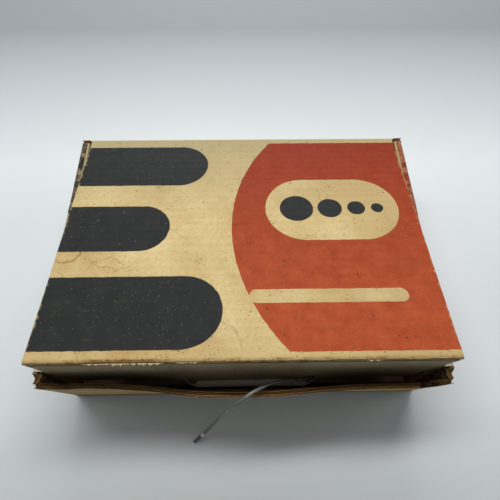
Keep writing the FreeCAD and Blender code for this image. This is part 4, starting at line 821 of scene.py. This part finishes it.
def add_camera(settings):
    deselect()
    turn = (Matrix.Rotation(settings.camera_yaw, 3, "Z")
            @ Matrix.Rotation(math.pi / 2 - settings.camera_pitch, 3, "X")
            @ Matrix.Rotation(settings.camera_roll, 3, "Z"))
    bpy.ops.object.camera_add(location=settings.camera_place, rotation=turn.to_euler())
    camera = bpy.context.object
    camera.name = "camera"
    camera.data.lens = settings.focal_length
    camera.data.sensor_width = 36
    camera.data.clip_start = 0.01
    bpy.context.scene.camera = camera


# Each softbox's place, what it aims at, its size, its power and its colour
SOFTBOXES = {
    "window_behind": ((-0.08, 0.42, 1.44), (0, 0, 0.05), (1.5, 0.22), 17.5, (1.0, 0.997, 0.985)),
    "window_low": ((0.05, 1.25, 0.62), (0, 0, 0.03), (0.9, 0.3), 10, (0.97, 0.985, 1.0)),
    "room_before": ((0.1, -0.75, 1.25), (0, -0.1, 0.05), (0.9, 0.5), 1.0, (0.93, 0.97, 1.0)),
    "side_left": ((-1.5, 0.25, 1.0), (0, 0, 0.05), (0.7, 0.9), 3.5, (0.96, 0.98, 1.0)),
    "side_right": ((1.5, 0.25, 1.0), (0, 0, 0.05), (0.7, 0.9), 3.5, (0.96, 0.98, 1.0)),
}
FLOOR_SIZE = 7
FLOOR_DROP = 0.2 * MM
FLOOR_FADES = (0.75, 1.9)


def add_softbox(name, place, aim, size, power, colour):
    deselect()
    heading = (Vector(aim) - Vector(place)).to_track_quat("-Z", "Y").to_euler()
    bpy.ops.object.light_add(type="AREA", location=place, rotation=heading)
    lamp = bpy.context.object
    lamp.name = name
    lamp.data.shape = "RECTANGLE"
    lamp.data.size, lamp.data.size_y = size
    lamp.data.energy = power
    lamp.data.color = colour
    lamp.visible_camera = False


def make_floor(settings):
    """Pale paper with painted shade before and behind the object and a painted shadow before its middle, that
    fades into the sky's colour far off.
    """
    finish = Finish("floor_paper")
    x, y, _ = finish.axes()
    # Painted shadow: the floor is darkened before the object's middle, where its soft shadow falls.
    front_shadow = y.span(-0.30, -0.17, 1.0, 0.0) * x.size().span(0.02, 0.20, 1.0, 0.0)
    shade = finish.coats(
        tuple(settings.floor_colour), (finish.clouds(3, 3).span(0.3, 0.7), srgb(211, 216, 218)),
        # Painted shade on the floor behind the object.
        (y.span(0.17, 0.44), tuple(settings.far_shade_colour)),
        # Painted shade on the floor before the object.
        (y.span(-0.24, -0.13, 1.0, 0.0), tuple(settings.near_shade_colour)),
        (front_shadow * 0.8, srgb(166, 170, 171)))
    finish.done(shade, 0.85, Specular_IOR_Level=0.2)
    glow = finish.node("ShaderNodeEmission", values={"Color": SKY_SEEN})
    mixed = finish.node("ShaderNodeMixShader", values={
        0: x.reach(y).span(*FLOOR_FADES) * finish.seen(), 1: Wire(finish, finish.shader.outputs[0]), 2: glow})
    finish.feed(finish.tree.nodes["Material Output"].inputs["Surface"], mixed)
    return finish.material


def make_sky(world, settings):
    """A weak sky that lights the object, and a pale one that the eye, metal and glass see."""
    world.use_nodes = True
    nodes = Nodes(world.node_tree)
    dim = nodes.tree.nodes["Background"]
    dim.inputs["Color"].default_value = srgb(214, 226, 236)
    dim.inputs["Strength"].default_value = settings.sky_strength
    pale = nodes.node("ShaderNodeBackground", values={"Color": SKY_SEEN})
    mixed = nodes.node("ShaderNodeMixShader", values={
        0: nodes.seen(), 1: Wire(nodes, dim.outputs[0]), 2: pale})
    nodes.feed(nodes.tree.nodes["World Output"].inputs["Surface"], mixed)


class CARTON_OT_stage(bpy.types.Operator):
    """Set up the camera, the pale floor and the soft light"""

    bl_idname = "carton.stage"
    bl_label = "Camera, floor and light"

    def execute(self, context):
        settings = context.scene.carton_stage
        add_camera(settings)
        deselect()
        bpy.ops.mesh.primitive_grid_add(x_subdivisions=6, y_subdivisions=6, size=FLOOR_SIZE,
                                        location=(0, 0, -FLOOR_DROP))
        floor = bpy.context.object
        floor.name = "floor"
        settle(floor)
        floor.data.materials.append(make_floor(settings))
        for name, numbers in SOFTBOXES.items():
            add_softbox(name, *numbers)
        context.scene.world = bpy.data.worlds.new("studio")
        make_sky(context.scene.world, settings)
        context.scene.view_settings.view_transform = "Standard"
        return {"FINISHED"}


# The handle's cord: the same points as in the part's source, here in metres
CORD_ROUTE = [
    (0.0535, -0.1099, 0.0702), (0.0535, -0.1144, 0.0704), (0.0520, -0.1180, 0.0718),
    (0.0476, -0.1200, 0.0750), (0.0390, -0.1208, 0.0810), (0.0245, -0.1233, 0.0915),
    (0.0130, -0.1285, 0.1008), (0.0035, -0.1338, 0.1044), (-0.0050, -0.1392, 0.0995),
    (-0.0120, -0.1422, 0.0860), (-0.0180, -0.1444, 0.0660), (-0.0244, -0.1470, 0.0440),
    (-0.0286, -0.1490, 0.0305), (-0.0316, -0.1506, 0.0195), (-0.0344, -0.1522, 0.0128),
    (-0.0386, -0.1552, 0.0092),
]
CORD_DIAMETER = 0.0025


def lathe(name, start, heading, profile, steps=32):
    """A turned piece: the profile's (radius, distance) points spun round a line from the start."""
    deselect()
    bpy.ops.mesh.primitive_circle_add(vertices=steps, radius=1, fill_type="NOTHING")
    piece = bpy.context.object
    piece.name = name
    mesh = bmesh.new()
    mesh.from_mesh(piece.data)
    frame_of = Vector(heading).to_track_quat("Z", "Y").to_matrix()
    rings = []
    first = [vertex for vertex in mesh.verts]
    for number, (radius, distance) in enumerate(profile):
        ring = first if number == 0 else [mesh.verts.new() for _ in range(steps)]
        for i, vertex in enumerate(ring):
            angle = FULL_TURN * i / steps
            spot = Vector((radius * math.cos(angle), radius * math.sin(angle), distance))
            vertex.co = Vector(start) + frame_of @ spot
        rings.append(ring)
    for lower, upper in zip(rings, rings[1:]):
        for i in range(steps):
            j = (i + 1) % steps
            mesh.faces.new((lower[i], lower[j], upper[j], upper[i]))
    for ring in (rings[0], rings[-1]):
        mesh.faces.new(ring)
    bmesh.ops.remove_doubles(mesh, verts=mesh.verts, dist=1e-7)
    bmesh.ops.recalc_face_normals(mesh, faces=mesh.faces)
    mesh.to_mesh(piece.data)
    mesh.free()
    return piece


class CARTON_OT_handle(bpy.types.Operator):
    """Lay the handle's cord, its collar and its crimped tip"""

    bl_idname = "carton.handle"
    bl_label = "Handle cord"

    def execute(self, context):
        curve = bpy.data.curves.new("handle_cord_line", "CURVE")
        curve.dimensions = "3D"
        spline = curve.splines.new("NURBS")
        spline.points.add(len(CORD_ROUTE) - 1)
        for point, place in zip(spline.points, CORD_ROUTE):
            point.co = (*place, 1.0)
        spline.order_u = 3
        spline.use_endpoint_u = True
        spline.resolution_u = 12
        curve.bevel_depth = CORD_DIAMETER / 2
        curve.bevel_resolution = 5
        curve.use_fill_caps = True
        cord = bpy.data.objects.new("cord_grey", curve)
        context.collection.objects.link(cord)
        curve.materials.append(MATERIALS["grey_cord"])

        end = Vector(CORD_ROUTE[-1])
        heading = (end - Vector(CORD_ROUTE[-2])).normalized()
        collar = lathe("cord_collar", end, heading, [
            (0.0, -0.0002), (0.00145, -0.0002), (0.0018, 0.0002), (0.0019, 0.0008), (0.00182, 0.0014),
            (0.0019, 0.0021), (0.0018, 0.0027), (0.0013, 0.003), (0.0, 0.003)])
        collar.data.materials.append(MATERIALS["white_collar"])
        smooth(collar, 40)
        start = end + heading * 0.003
        tip = lathe("cord_tip", start, heading, [
            (0.0, 0.0), (0.0015, 0.0), (0.0016, 0.0003), (0.0016, 0.0022), (0.00142, 0.0026),
            (0.0014, 0.0032), (0.00152, 0.0037), (0.00146, 0.0062), (0.0013, 0.0066), (0.00138, 0.0071),
            (0.00125, 0.0098), (0.0011, 0.0106), (0.0007, 0.011), (0.0, 0.011)])
        tip.data.materials.append(MATERIALS["dark_tip"])
        smooth(tip, 30)
        dress(cord, "tuck_flap", "grey_cord", "handle_cord")
        dress(collar, "tuck_flap", "white_collar", "handle_tip_collar")
        dress(tip, "tuck_flap", "dark_tip", "handle_tip")
        return {"FINISHED"}


# The torn scraps along the lid's front crease: left end, right end and longest fibre, in metres
LID_SCRAPS = ((-0.114, -0.092, 0.0016), (-0.098, -0.056, 0.0028), (-0.048, -0.032, 0.0010),
              (0.086, 0.098, 0.0009))


class CARTON_OT_lid(bpy.types.Operator):
    """Model the printed lid with its rolled creases, raw ends and torn front edge"""

    bl_idname = "carton.lid"
    bl_label = "Lid"

    def execute(self, context):
        settings = context.scene.carton
        low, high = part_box("lid_panel")
        lift = settings.lid_lift
        hinge = Vector((0, high[1] - ROLL, low[2] + ROLL))
        forward = Vector((0, -math.cos(lift), math.sin(lift)))
        upward = Vector((0, math.sin(lift), math.cos(lift)))
        reach = settings.lid_depth - ROLL
        half = settings.lid_width / 2
        front = hinge + forward * reach

        def sag(u, v):
            ripple = 0.5 + 0.5 * rough(u * 9, v * 11, 2.0)
            dent = 0.35 * (0.5 + 0.5 * rough(u * 38, v * 30, 5.0))
            return settings.warp * (ripple + dent) * ease(0.0, 0.02, v) * ease(0.0, 0.012, reach - v)

        def place(u, v, w):
            """u across the lid, v along its surface from the hinge, w up from the board's middle."""
            if v < 0:
                angle = -v / ROLL
                return hinge + Vector((u, 0, 0)) + (upward * math.cos(angle) - forward * math.sin(angle)) * w
            if v > reach:
                angle = (v - reach) / ROLL
                return front + Vector((u, 0, 0)) + (upward * math.cos(angle) + forward * math.sin(angle)) * w
            return hinge + Vector((u, 0, 0)) + forward * v + upward * (w - sag(u, v))

        def ragged(u):
            return reach + ROLL * 1.75 + 0.0007 * rough(u * 160, 3.0) + 0.0012 * max(rough(u * 45, 9.0), 0)

        ends = (lambda v: -half + 0.0003 * abs(rough(v * 120, 1.0)),
                lambda v: half - 0.0003 * abs(rough(v * 120, 4.0)))
        face = ply("lid_face", (124, 110), ends, (-ROLL * 1.5, ragged), place, SKIN, LINER,
                   ("lid_print", "raw_board", "fluff"))
        for spot in face.data.uv_layers["print"].data:
            spot.uv = (spot.uv[0], settings.lid_depth - spot.uv[1])
        inner = ply("lid_back", (62, 60), (-half, half), (0.0002, reach - 0.0008), turned_over(place), SKIN)
        medium = fluted("lid_medium", (24, int(reach / FLUTE_PITCH * FLUTE_CELLS)),
                        (-half + 0.0005, half - 0.0005), (0.0015, reach - 0.001), place)
        scraps = []
        for number, (left, right, longest) in enumerate(LID_SCRAPS):
            angle = 1.5 - 0.08 * number

            def hang(u, v, w):
                lean = 0.35 + 220 * v + 0.5 * rough(u * 500, number)
                start = upward * math.cos(angle) + forward * math.sin(angle)
                away = forward * math.cos(lean) - upward * math.sin(lean)
                return front + Vector((u, 0, 0)) + start * (SKIN + w) + away * v

            def torn(u):
                fade = ease(left, left + 0.004, u) * ease(0.0, 0.004, right - u)
                fibres = 0.25 + rough(u * 420, number) + 0.6 * rough(u * 1300, number)
                return 0.0001 + longest * fade * max(fibres, 0)

            scraps.append(ply(f"lid_scrap_{number}", (int((right - left) / 0.0003), 3), (left, right),
                              (0.0, torn), hang, 0.0, 0.15 * MM, ("fluff", "raw_board", "fluff")))
        lid = join_pieces("lid_board", [face, inner, medium, *scraps])
        smooth(lid, 40)
        dress(lid, "lid", "lid_print", "lid_panel")
        return {"FINISHED"}


# The tuck flap, in metres from its crease down: its length, where its sides start to taper and its holes
FLAP_DROP = 0.080
FLAP_SHOULDER = 0.030
FLAP_TAPER = 10 * MM
FLAP_BOW = 3.0 * MM
HOLES = ((0.0535, 0.062), (-0.0445, 0.062))
HOLE_RADIUS = 5.5 * MM


class CARTON_OT_flap(bpy.types.Operator):
    """Model the tuck flap, its torn handle holes and its flared foot"""

    bl_idname = "carton.flap"
    bl_label = "Tuck flap"

    def execute(self, context):
        settings = context.scene.carton
        low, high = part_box("lid_panel")
        lift = settings.lid_lift
        reach = settings.lid_depth - ROLL
        crease = Vector((0, high[1] - ROLL - reach * math.cos(lift), low[2] + ROLL + reach * math.sin(lift)))
        tuck = settings.flap_tuck
        down = Vector((0, math.sin(tuck), -math.cos(tuck)))
        out = Vector((0, -math.cos(tuck), -math.sin(tuck)))
        head = ROLL + 0.3 * MM
        top_half = settings.lid_width / 2 - 0.9 * MM

        def half_at(v):
            share = (v - FLAP_SHOULDER) / (FLAP_DROP - FLAP_SHOULDER)
            return top_half - FLAP_TAPER * min(max(share, 0.0), 1.0)

        def flare(u, v):
            middle = 1.0 - ease(0.040, 0.095, abs(u - HOLES_MIDDLE))
            lip = 1.0 - ease(0.044, 0.058, abs(u - HOLES_MIDDLE))
            bow = FLAP_BOW * middle * min(v / 0.062, 1.2) ** 2
            return bow + lip * (4.2 * MM * ease(0.0615, 0.0712, v) - 4.6 * MM * ease(0.0708, 0.0795, v))

        def place(u, v, w):
            bend = -0.0005 * (1 + rough(u * 14, v * 20, 3.0)) * ease(head, 0.02, v)
            return crease + Vector((u, 0, 0)) + down * v + out * (w + bend + flare(u, v))

        def foot(u):
            return FLAP_DROP - 0.0006 * (1 + rough(u * 70, 2.0)) - 0.0008 * max(rough(u * 22, 7.0), 0)

        pieces = corrugated("flap", (lambda v: -half_at(v), half_at), (head, foot), place, (152, 58),
                            "flap_board", hole=(HOLES, HOLE_RADIUS))
        for number in range(7):
            angle = 2.2 + number * 0.5
            u = HOLES[1][0] + 0.0056 * math.cos(angle)
            v = HOLES[1][1] + 0.0056 * math.sin(angle)
            outward = (Vector((-math.cos(angle), 0, 0)) - down * math.sin(angle)).normalized()
            sideways = out.cross(outward).normalized()
            length = 0.0016 + 0.0006 * rough(number, 3.3)
            pieces.append(flake(f"hole_scrap_{number}", place(u, v, ROLL - 0.0003), outward, sideways, length,
                                number + 20))
        flap = join_pieces("tuck_flap_board", pieces)
        smooth(flap, 40)
        dress(flap, "tuck_flap", "flap_board", "lid_tuck_flap")
        return {"FINISHED"}


# How far the front wall's top leans out, in millimetres, at shares of its half width
FRONT_LEANS = (
    (-1.0, 7.0), (-0.9, 8.0), (-0.62, 8.7), (-0.5, 10.2), (-0.4, 11.8), (-0.3, 14.3), (-0.18, 16.1),
    (0.0, 16.7), (0.12, 16.3), (0.26, 14.8), (0.4, 13.1), (0.59, 11.5), (0.79, 11.6), (0.92, 10.0),
    (1.0, 7.8))
# Two notches torn into the front wall's top: place across, half width and depth, in metres
NOTCHES = ((0.1405, 0.006, 0.010), (0.1475, 0.004, 0.006))
# The plies' standing fibres: their place through the board and their length in metres
FRINGES = ((-1, 0.0012), (-0.4, 0.0016), (0.5, 0.0012), (1, 0.0015))


def lean_at(share):
    """The front wall's lean in metres, eased between the marks of FRONT_LEANS."""
    share = min(max(share, -1.0), 0.9999)
    i = max(k for k in range(len(FRONT_LEANS) - 1) if FRONT_LEANS[k][0] <= share)
    (x0, a), (x1, b) = FRONT_LEANS[i:i + 2]
    before = FRONT_LEANS[max(i - 1, 0)]
    after = FRONT_LEANS[min(i + 2, len(FRONT_LEANS) - 1)]
    t = (share - x0) / (x1 - x0)
    slope_a = (b - before[1]) / (x1 - before[0]) * (x1 - x0)
    slope_b = (after[1] - a) / (after[0] - x0) * (x1 - x0)
    return ((2 * t ** 3 - 3 * t ** 2 + 1) * a + (t ** 3 - 2 * t ** 2 + t) * slope_a
            + (-2 * t ** 3 + 3 * t ** 2) * b + (t ** 3 - t ** 2) * slope_b) * MM


class CARTON_OT_walls(bpy.types.Operator):
    """Model the front, side and back walls, the bottom and the torn corner ears"""

    bl_idname = "carton.walls"
    bl_label = "Walls"

    def execute(self, context):
        self.front_wall()
        self.side_wall(-1, "left")
        self.side_wall(1, "right")
        self.back_wall()
        self.bottom()
        self.ears()
        return {"FINISHED"}

    def finish(self, name, pieces, slot, node):
        wall = join_pieces(name, pieces)
        smooth(wall, 40)
        dress(wall, "carton", slot, node)

    def front_wall(self):
        low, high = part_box("carton_front_wall")
        half = high[0]
        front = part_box("carton_bottom")[0][1]
        foot, top = low[2], high[2]

        def place(u, v, w):
            share = (v - foot) / (top - foot)
            crumple = (0.0012 * rough(u * 60, v * 55, 1.0) * ease(0.55, 1.0, share) * ease(0.10, half, abs(u))
                       + 0.0003 * rough(u * 45, v * 60, 9.0) * ease(0.2, 1.0, share))
            y = front - lean_at(u / half) * share + ROLL - w
            return Vector((u, y - crumple if y - crumple > low[1] + 0.0002 else y, v))

        def torn(u, layer):
            """How high a ply still reaches under its torn edge, its notches and its crushed corners."""
            jag = 0.0011 * (1 + rough(u * 95, layer * 7.0)) + 0.0012 * max(rough(u * 300, layer * 3.0), 0)
            notch = sum(depth * ease(width, 0.0, abs(u - middle)) for middle, width, depth in NOTCHES)
            corner = 0.007 * ease(half - 0.009, half, abs(u)) * (0.6 + 0.5 * rough(u * 160, layer))
            return top - jag - notch - corner

        pieces = [
            ply("front_outer", (260, 26), (-half, half), (foot, lambda u: torn(u, 1.0)), place, SKIN, LINER,
                ("pale_outside", "raw_board", "cut_edge")),
            ply("front_inner", (260, 26), (-half, half), (foot, lambda u: torn(u, 2.0)), turned_over(place),
                SKIN),
            fluted("front_medium", (150, 96), (-half + 0.0004, half - 0.0004),
                   (foot, lambda u: torn(u, 3.0) - 0.0012), place)]
        for number, (layer, height) in enumerate(FRINGES):
            def root(u):
                return torn(u, 2.0 + number) - 0.003

            def tip(u):
                more = 1 + ease(half - 0.03, half - 0.01, abs(u)) * 1.2
                fibres = rough(u * 260, number) * 1.3 + 0.8 * rough(u * 900, number)
                return torn(u, 2.0 + number) + height * more * max(fibres, 0)

            def lifted(u, v, w):
                spot = place(u, v, w + layer * SKIN * 0.85)
                return spot + Vector((0, -layer * 0.0003 * (1 + rough(u * 300, v * 200, number)), 0))

            pieces.append(ply(f"front_fringe_{number}", (320, 3), (-half + 0.0005, half - 0.0005),
                              (root, tip), lifted, 0.0, 0.16 * MM, ("cut_edge", "raw_board", "cut_edge")))
        self.finish("front_wall_board", pieces, "raw_board", "carton_front_wall")

    def side_wall(self, side, name):
        """A double wall, its print rolled over the top; side is -1 at the left and 1 at the right."""
        node = f"carton_{name}_side_wall"
        low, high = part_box(node)
        outer_x = high[0] if side > 0 else -low[0]
        inner_x = low[0] if side > 0 else -high[0]
        foot, top = low[2], high[2]
        rise = top - ROLL - foot
        quarter = math.pi / 2 * ROLL
        flat = outer_x - inner_x - 2 * ROLL
        whole = 2 * rise + 2 * quarter + flat

        def dent(u, v):
            knock = ease(0.5, 0.9, rough(u * 22, v * 9, 4.0 * side))
            scuff = 0.0004 * (1 + rough(u * 34, v * 30, side)) + 0.0010 * knock
            return scuff * ease(0.0, 0.012, v) * ease(0.0, 0.012, whole - v)

        def skin_place(u, v, w):
            """u along Y, v round the wall from its outer foot over the roll to its inner foot."""
            if v < rise:
                x, z, nx, nz = outer_x, foot + v, 1.0, 0.0
            elif v < rise + quarter:
                angle = (v - rise) / ROLL
                nx, nz = math.cos(angle), math.sin(angle)
                x, z = outer_x - ROLL + ROLL * nx, top - ROLL + ROLL * nz
            elif v < rise + quarter + flat:
                x, z, nx, nz = outer_x - ROLL - (v - rise - quarter), top, 0.0, 1.0
            elif v < rise + 2 * quarter + flat:
                angle = (v - rise - quarter - flat) / ROLL
                nx, nz = -math.sin(angle), math.cos(angle)
                x, z = inner_x + ROLL + ROLL * nx, top - ROLL + ROLL * nz
            else:
                x, z, nx, nz = inner_x, foot + whole - v, -1.0, 0.0
            depth = w - dent(u, v)
            return Vector((side * (x + nx * depth), u, z + nz * depth))

        def back_end(v):
            return high[1] - 0.0003 - 0.0005 * abs(rough(v * 140, side))

        def front_end(v):
            frayed = 0.0012 * abs(rough(v * 90, side + 3)) * ease(foot + 0.03, top, min(v, whole - v))
            return low[1] + 0.0002 + frayed

        slot = f"side_print_{name}"
        pieces = [ply(node + "_skin", (72, 96), (front_end, back_end), (0.0, whole), skin_place, -LINER / 2,
                      LINER, (slot, "raw_board", "cut_edge"))]
        flute_cells = (int((high[1] - low[1]) / FLUTE_PITCH * FLUTE_CELLS), 16)
        for layer, middle, out in (("outer", outer_x - ROLL, 1), ("inner", inner_x + ROLL, -1)):
            def flute(u, v, w):
                give = dent(u, v - foot if out > 0 else whole - v + foot)
                wave = (CREST - 0.0001) * math.sin(u * FLUTE_WAVE)
                return Vector((side * (middle + wave - out * give), u, v))

            def liner(u, v, w):
                return Vector((side * (middle - out * (SKIN + 0.0002) + w), u, v))

            pieces.append(ply(f"{node}_{layer}_medium", flute_cells, (low[1] + 0.0014, high[1] - 0.0008),
                              (foot, top - 0.0024), flute, 0.0, MEDIUM))
            pieces.append(ply(f"{node}_{layer}_liner", (10, 12), (low[1] + 0.0006, high[1] - 0.0004),
                              (foot, top - 0.004), liner, 0.0))

        def torn(v):
            fibres = 0.45 + rough(v * 130, side) + 0.5 * rough(v * 420, side)
            return 0.0006 + 0.0042 * ease(0.045, 0.09, v) * max(fibres, 0)

        def curled(u, v, w):
            inward = 0.0022 * ease(0.0004, 0.004, u) * (1 + rough(v * 150, u * 300, side))
            return Vector((side * (outer_x - 0.0004 - inward + w), low[1] - u, v - 0.12 * u))

        pieces.append(ply(node + "_torn", (8, 120), (0.0, torn), (foot + 0.03, top - 0.001), curled, 0.0,
                          0.2 * MM, ("pale_outside", "raw_board", "fluff")))
        self.finish(f"side_wall_{name}", pieces, slot, node)

    def back_wall(self):
        """The wall that the lid hangs from, cut lower between its two ends."""
        low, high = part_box("carton_back_wall")
        half = high[0]
        shelf = high[2] - 4.3 * MM
        ear = half - 8.5 * MM

        def head(u):
            return (high[2] if abs(u) > ear else shelf) - 0.0004 * (1 + rough(u * 120, 6.0))

        def place(u, v, w):
            return Vector((u, high[1] - ROLL + w - 0.0003 * (1 + rough(u * 20, v * 25, 8.0)), v))

        pieces = corrugated("back_wall", (-half + 0.0003, half - 0.0003), (low[2], head), place, (132, 24),
                            "pale_outside")
        self.finish("back_wall_board", pieces, "raw_board", "carton_back_wall")

    def bottom(self):
        low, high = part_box("carton_bottom")

        def place(u, v, w):
            return Vector((u, v, ROLL + w))

        pieces = corrugated("bottom", (low[0], high[0]), (low[1], high[1]), place, (66, 48), "raw_board",
                            "pale_outside")
        self.finish("bottom_board", pieces, "raw_board", "carton_bottom")

    def ears(self):
        """The glue flaps torn off the front wall, crushed, and cut to the front wall's lean."""
        low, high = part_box("carton_corner_ears")
        pieces = []
        for side in (-1, 1):
            lean = lean_at(side)

            def place(u, v, w):
                share = (v - low[2]) / (high[2] - low[2])
                crumple = 0.0011 * (rough(u * 320, v * 170, side) - 1) * ease(0.3, 0.9, share)
                crumple += 0.0004 * (rough(u * 900, v * 600, side) - 1) * ease(0.3, 0.9, share)
                return Vector((side * high[0] - side * (ROLL - w) + side * crumple, u, v))

            def reach(v):
                ragged = 2.8 + 0.9 * rough(v * 160, side) + 0.5 * rough(v * 500, side)
                return -0.119 - lean * ((v - BOARD) / 0.093) + ragged * MM

            def head(u):
                return high[2] - 0.0012 * (1.2 + rough(u * 900, 2.0))

            pieces += corrugated(f"ear_{side}", (reach, high[1]), (low[2], head), place, (26, 110),
                                 "crumpled", "crumpled", setback=0.3 * MM)
        self.finish("corner_ears_board", pieces, "raw_board", "carton_corner_ears")


class CARTON_OT_finishes(bpy.types.Operator):
    """Give every carried-over piece of the viewer its finish"""

    bl_idname = "carton.finishes"
    bl_label = "Finishes"

    def execute(self, context):
        slots = {entry["node"]: entry["material_slot"] for entry in frame["record"]["subparts"]}
        for node, piece in frame["nodes"].items():
            material = MATERIALS[slots[node]]
            piece.data.materials.clear()
            piece.data.materials.append(material)
            for face in piece.data.polygons:
                face.material_index = 0
        return {"FINISHED"}


class CARTON_PT_panel(bpy.types.Panel):
    """Lists the pieces and their sizes"""

    bl_idname = "CARTON_PT_panel"
    bl_label = "Carton"
    bl_space_type = "VIEW_3D"
    bl_region_type = "UI"
    bl_category = "Carton"

    def draw(self, context):
        layout = self.layout
        for operator in OPERATORS:
            layout.operator(operator.bl_idname)
        for group in (context.scene.carton, context.scene.carton_stage):
            for name in group.__annotations__:
                layout.prop(group, name)


OPERATORS = (CARTON_OT_stage, CARTON_OT_handle, CARTON_OT_lid, CARTON_OT_flap, CARTON_OT_walls,
             CARTON_OT_finishes)
CLASSES = (CartonSettings, StageSettings, *OPERATORS, CARTON_PT_panel)


def register():
    for item in CLASSES:
        bpy.utils.register_class(item)
    bpy.types.Scene.carton = PointerProperty(type=CartonSettings)
    bpy.types.Scene.carton_stage = PointerProperty(type=StageSettings)


def unregister():
    del bpy.types.Scene.carton_stage
    del bpy.types.Scene.carton
    for item in reversed(CLASSES):
        bpy.utils.unregister_class(item)


def main():
    register()
    make_materials(bpy.context.scene.carton)
    bpy.ops.carton.stage()
    bpy.ops.carton.handle()
    bpy.ops.carton.lid()
    bpy.ops.carton.flap()
    bpy.ops.carton.walls()
    bpy.ops.carton.finishes()


if __name__ == "__main__":
    main()
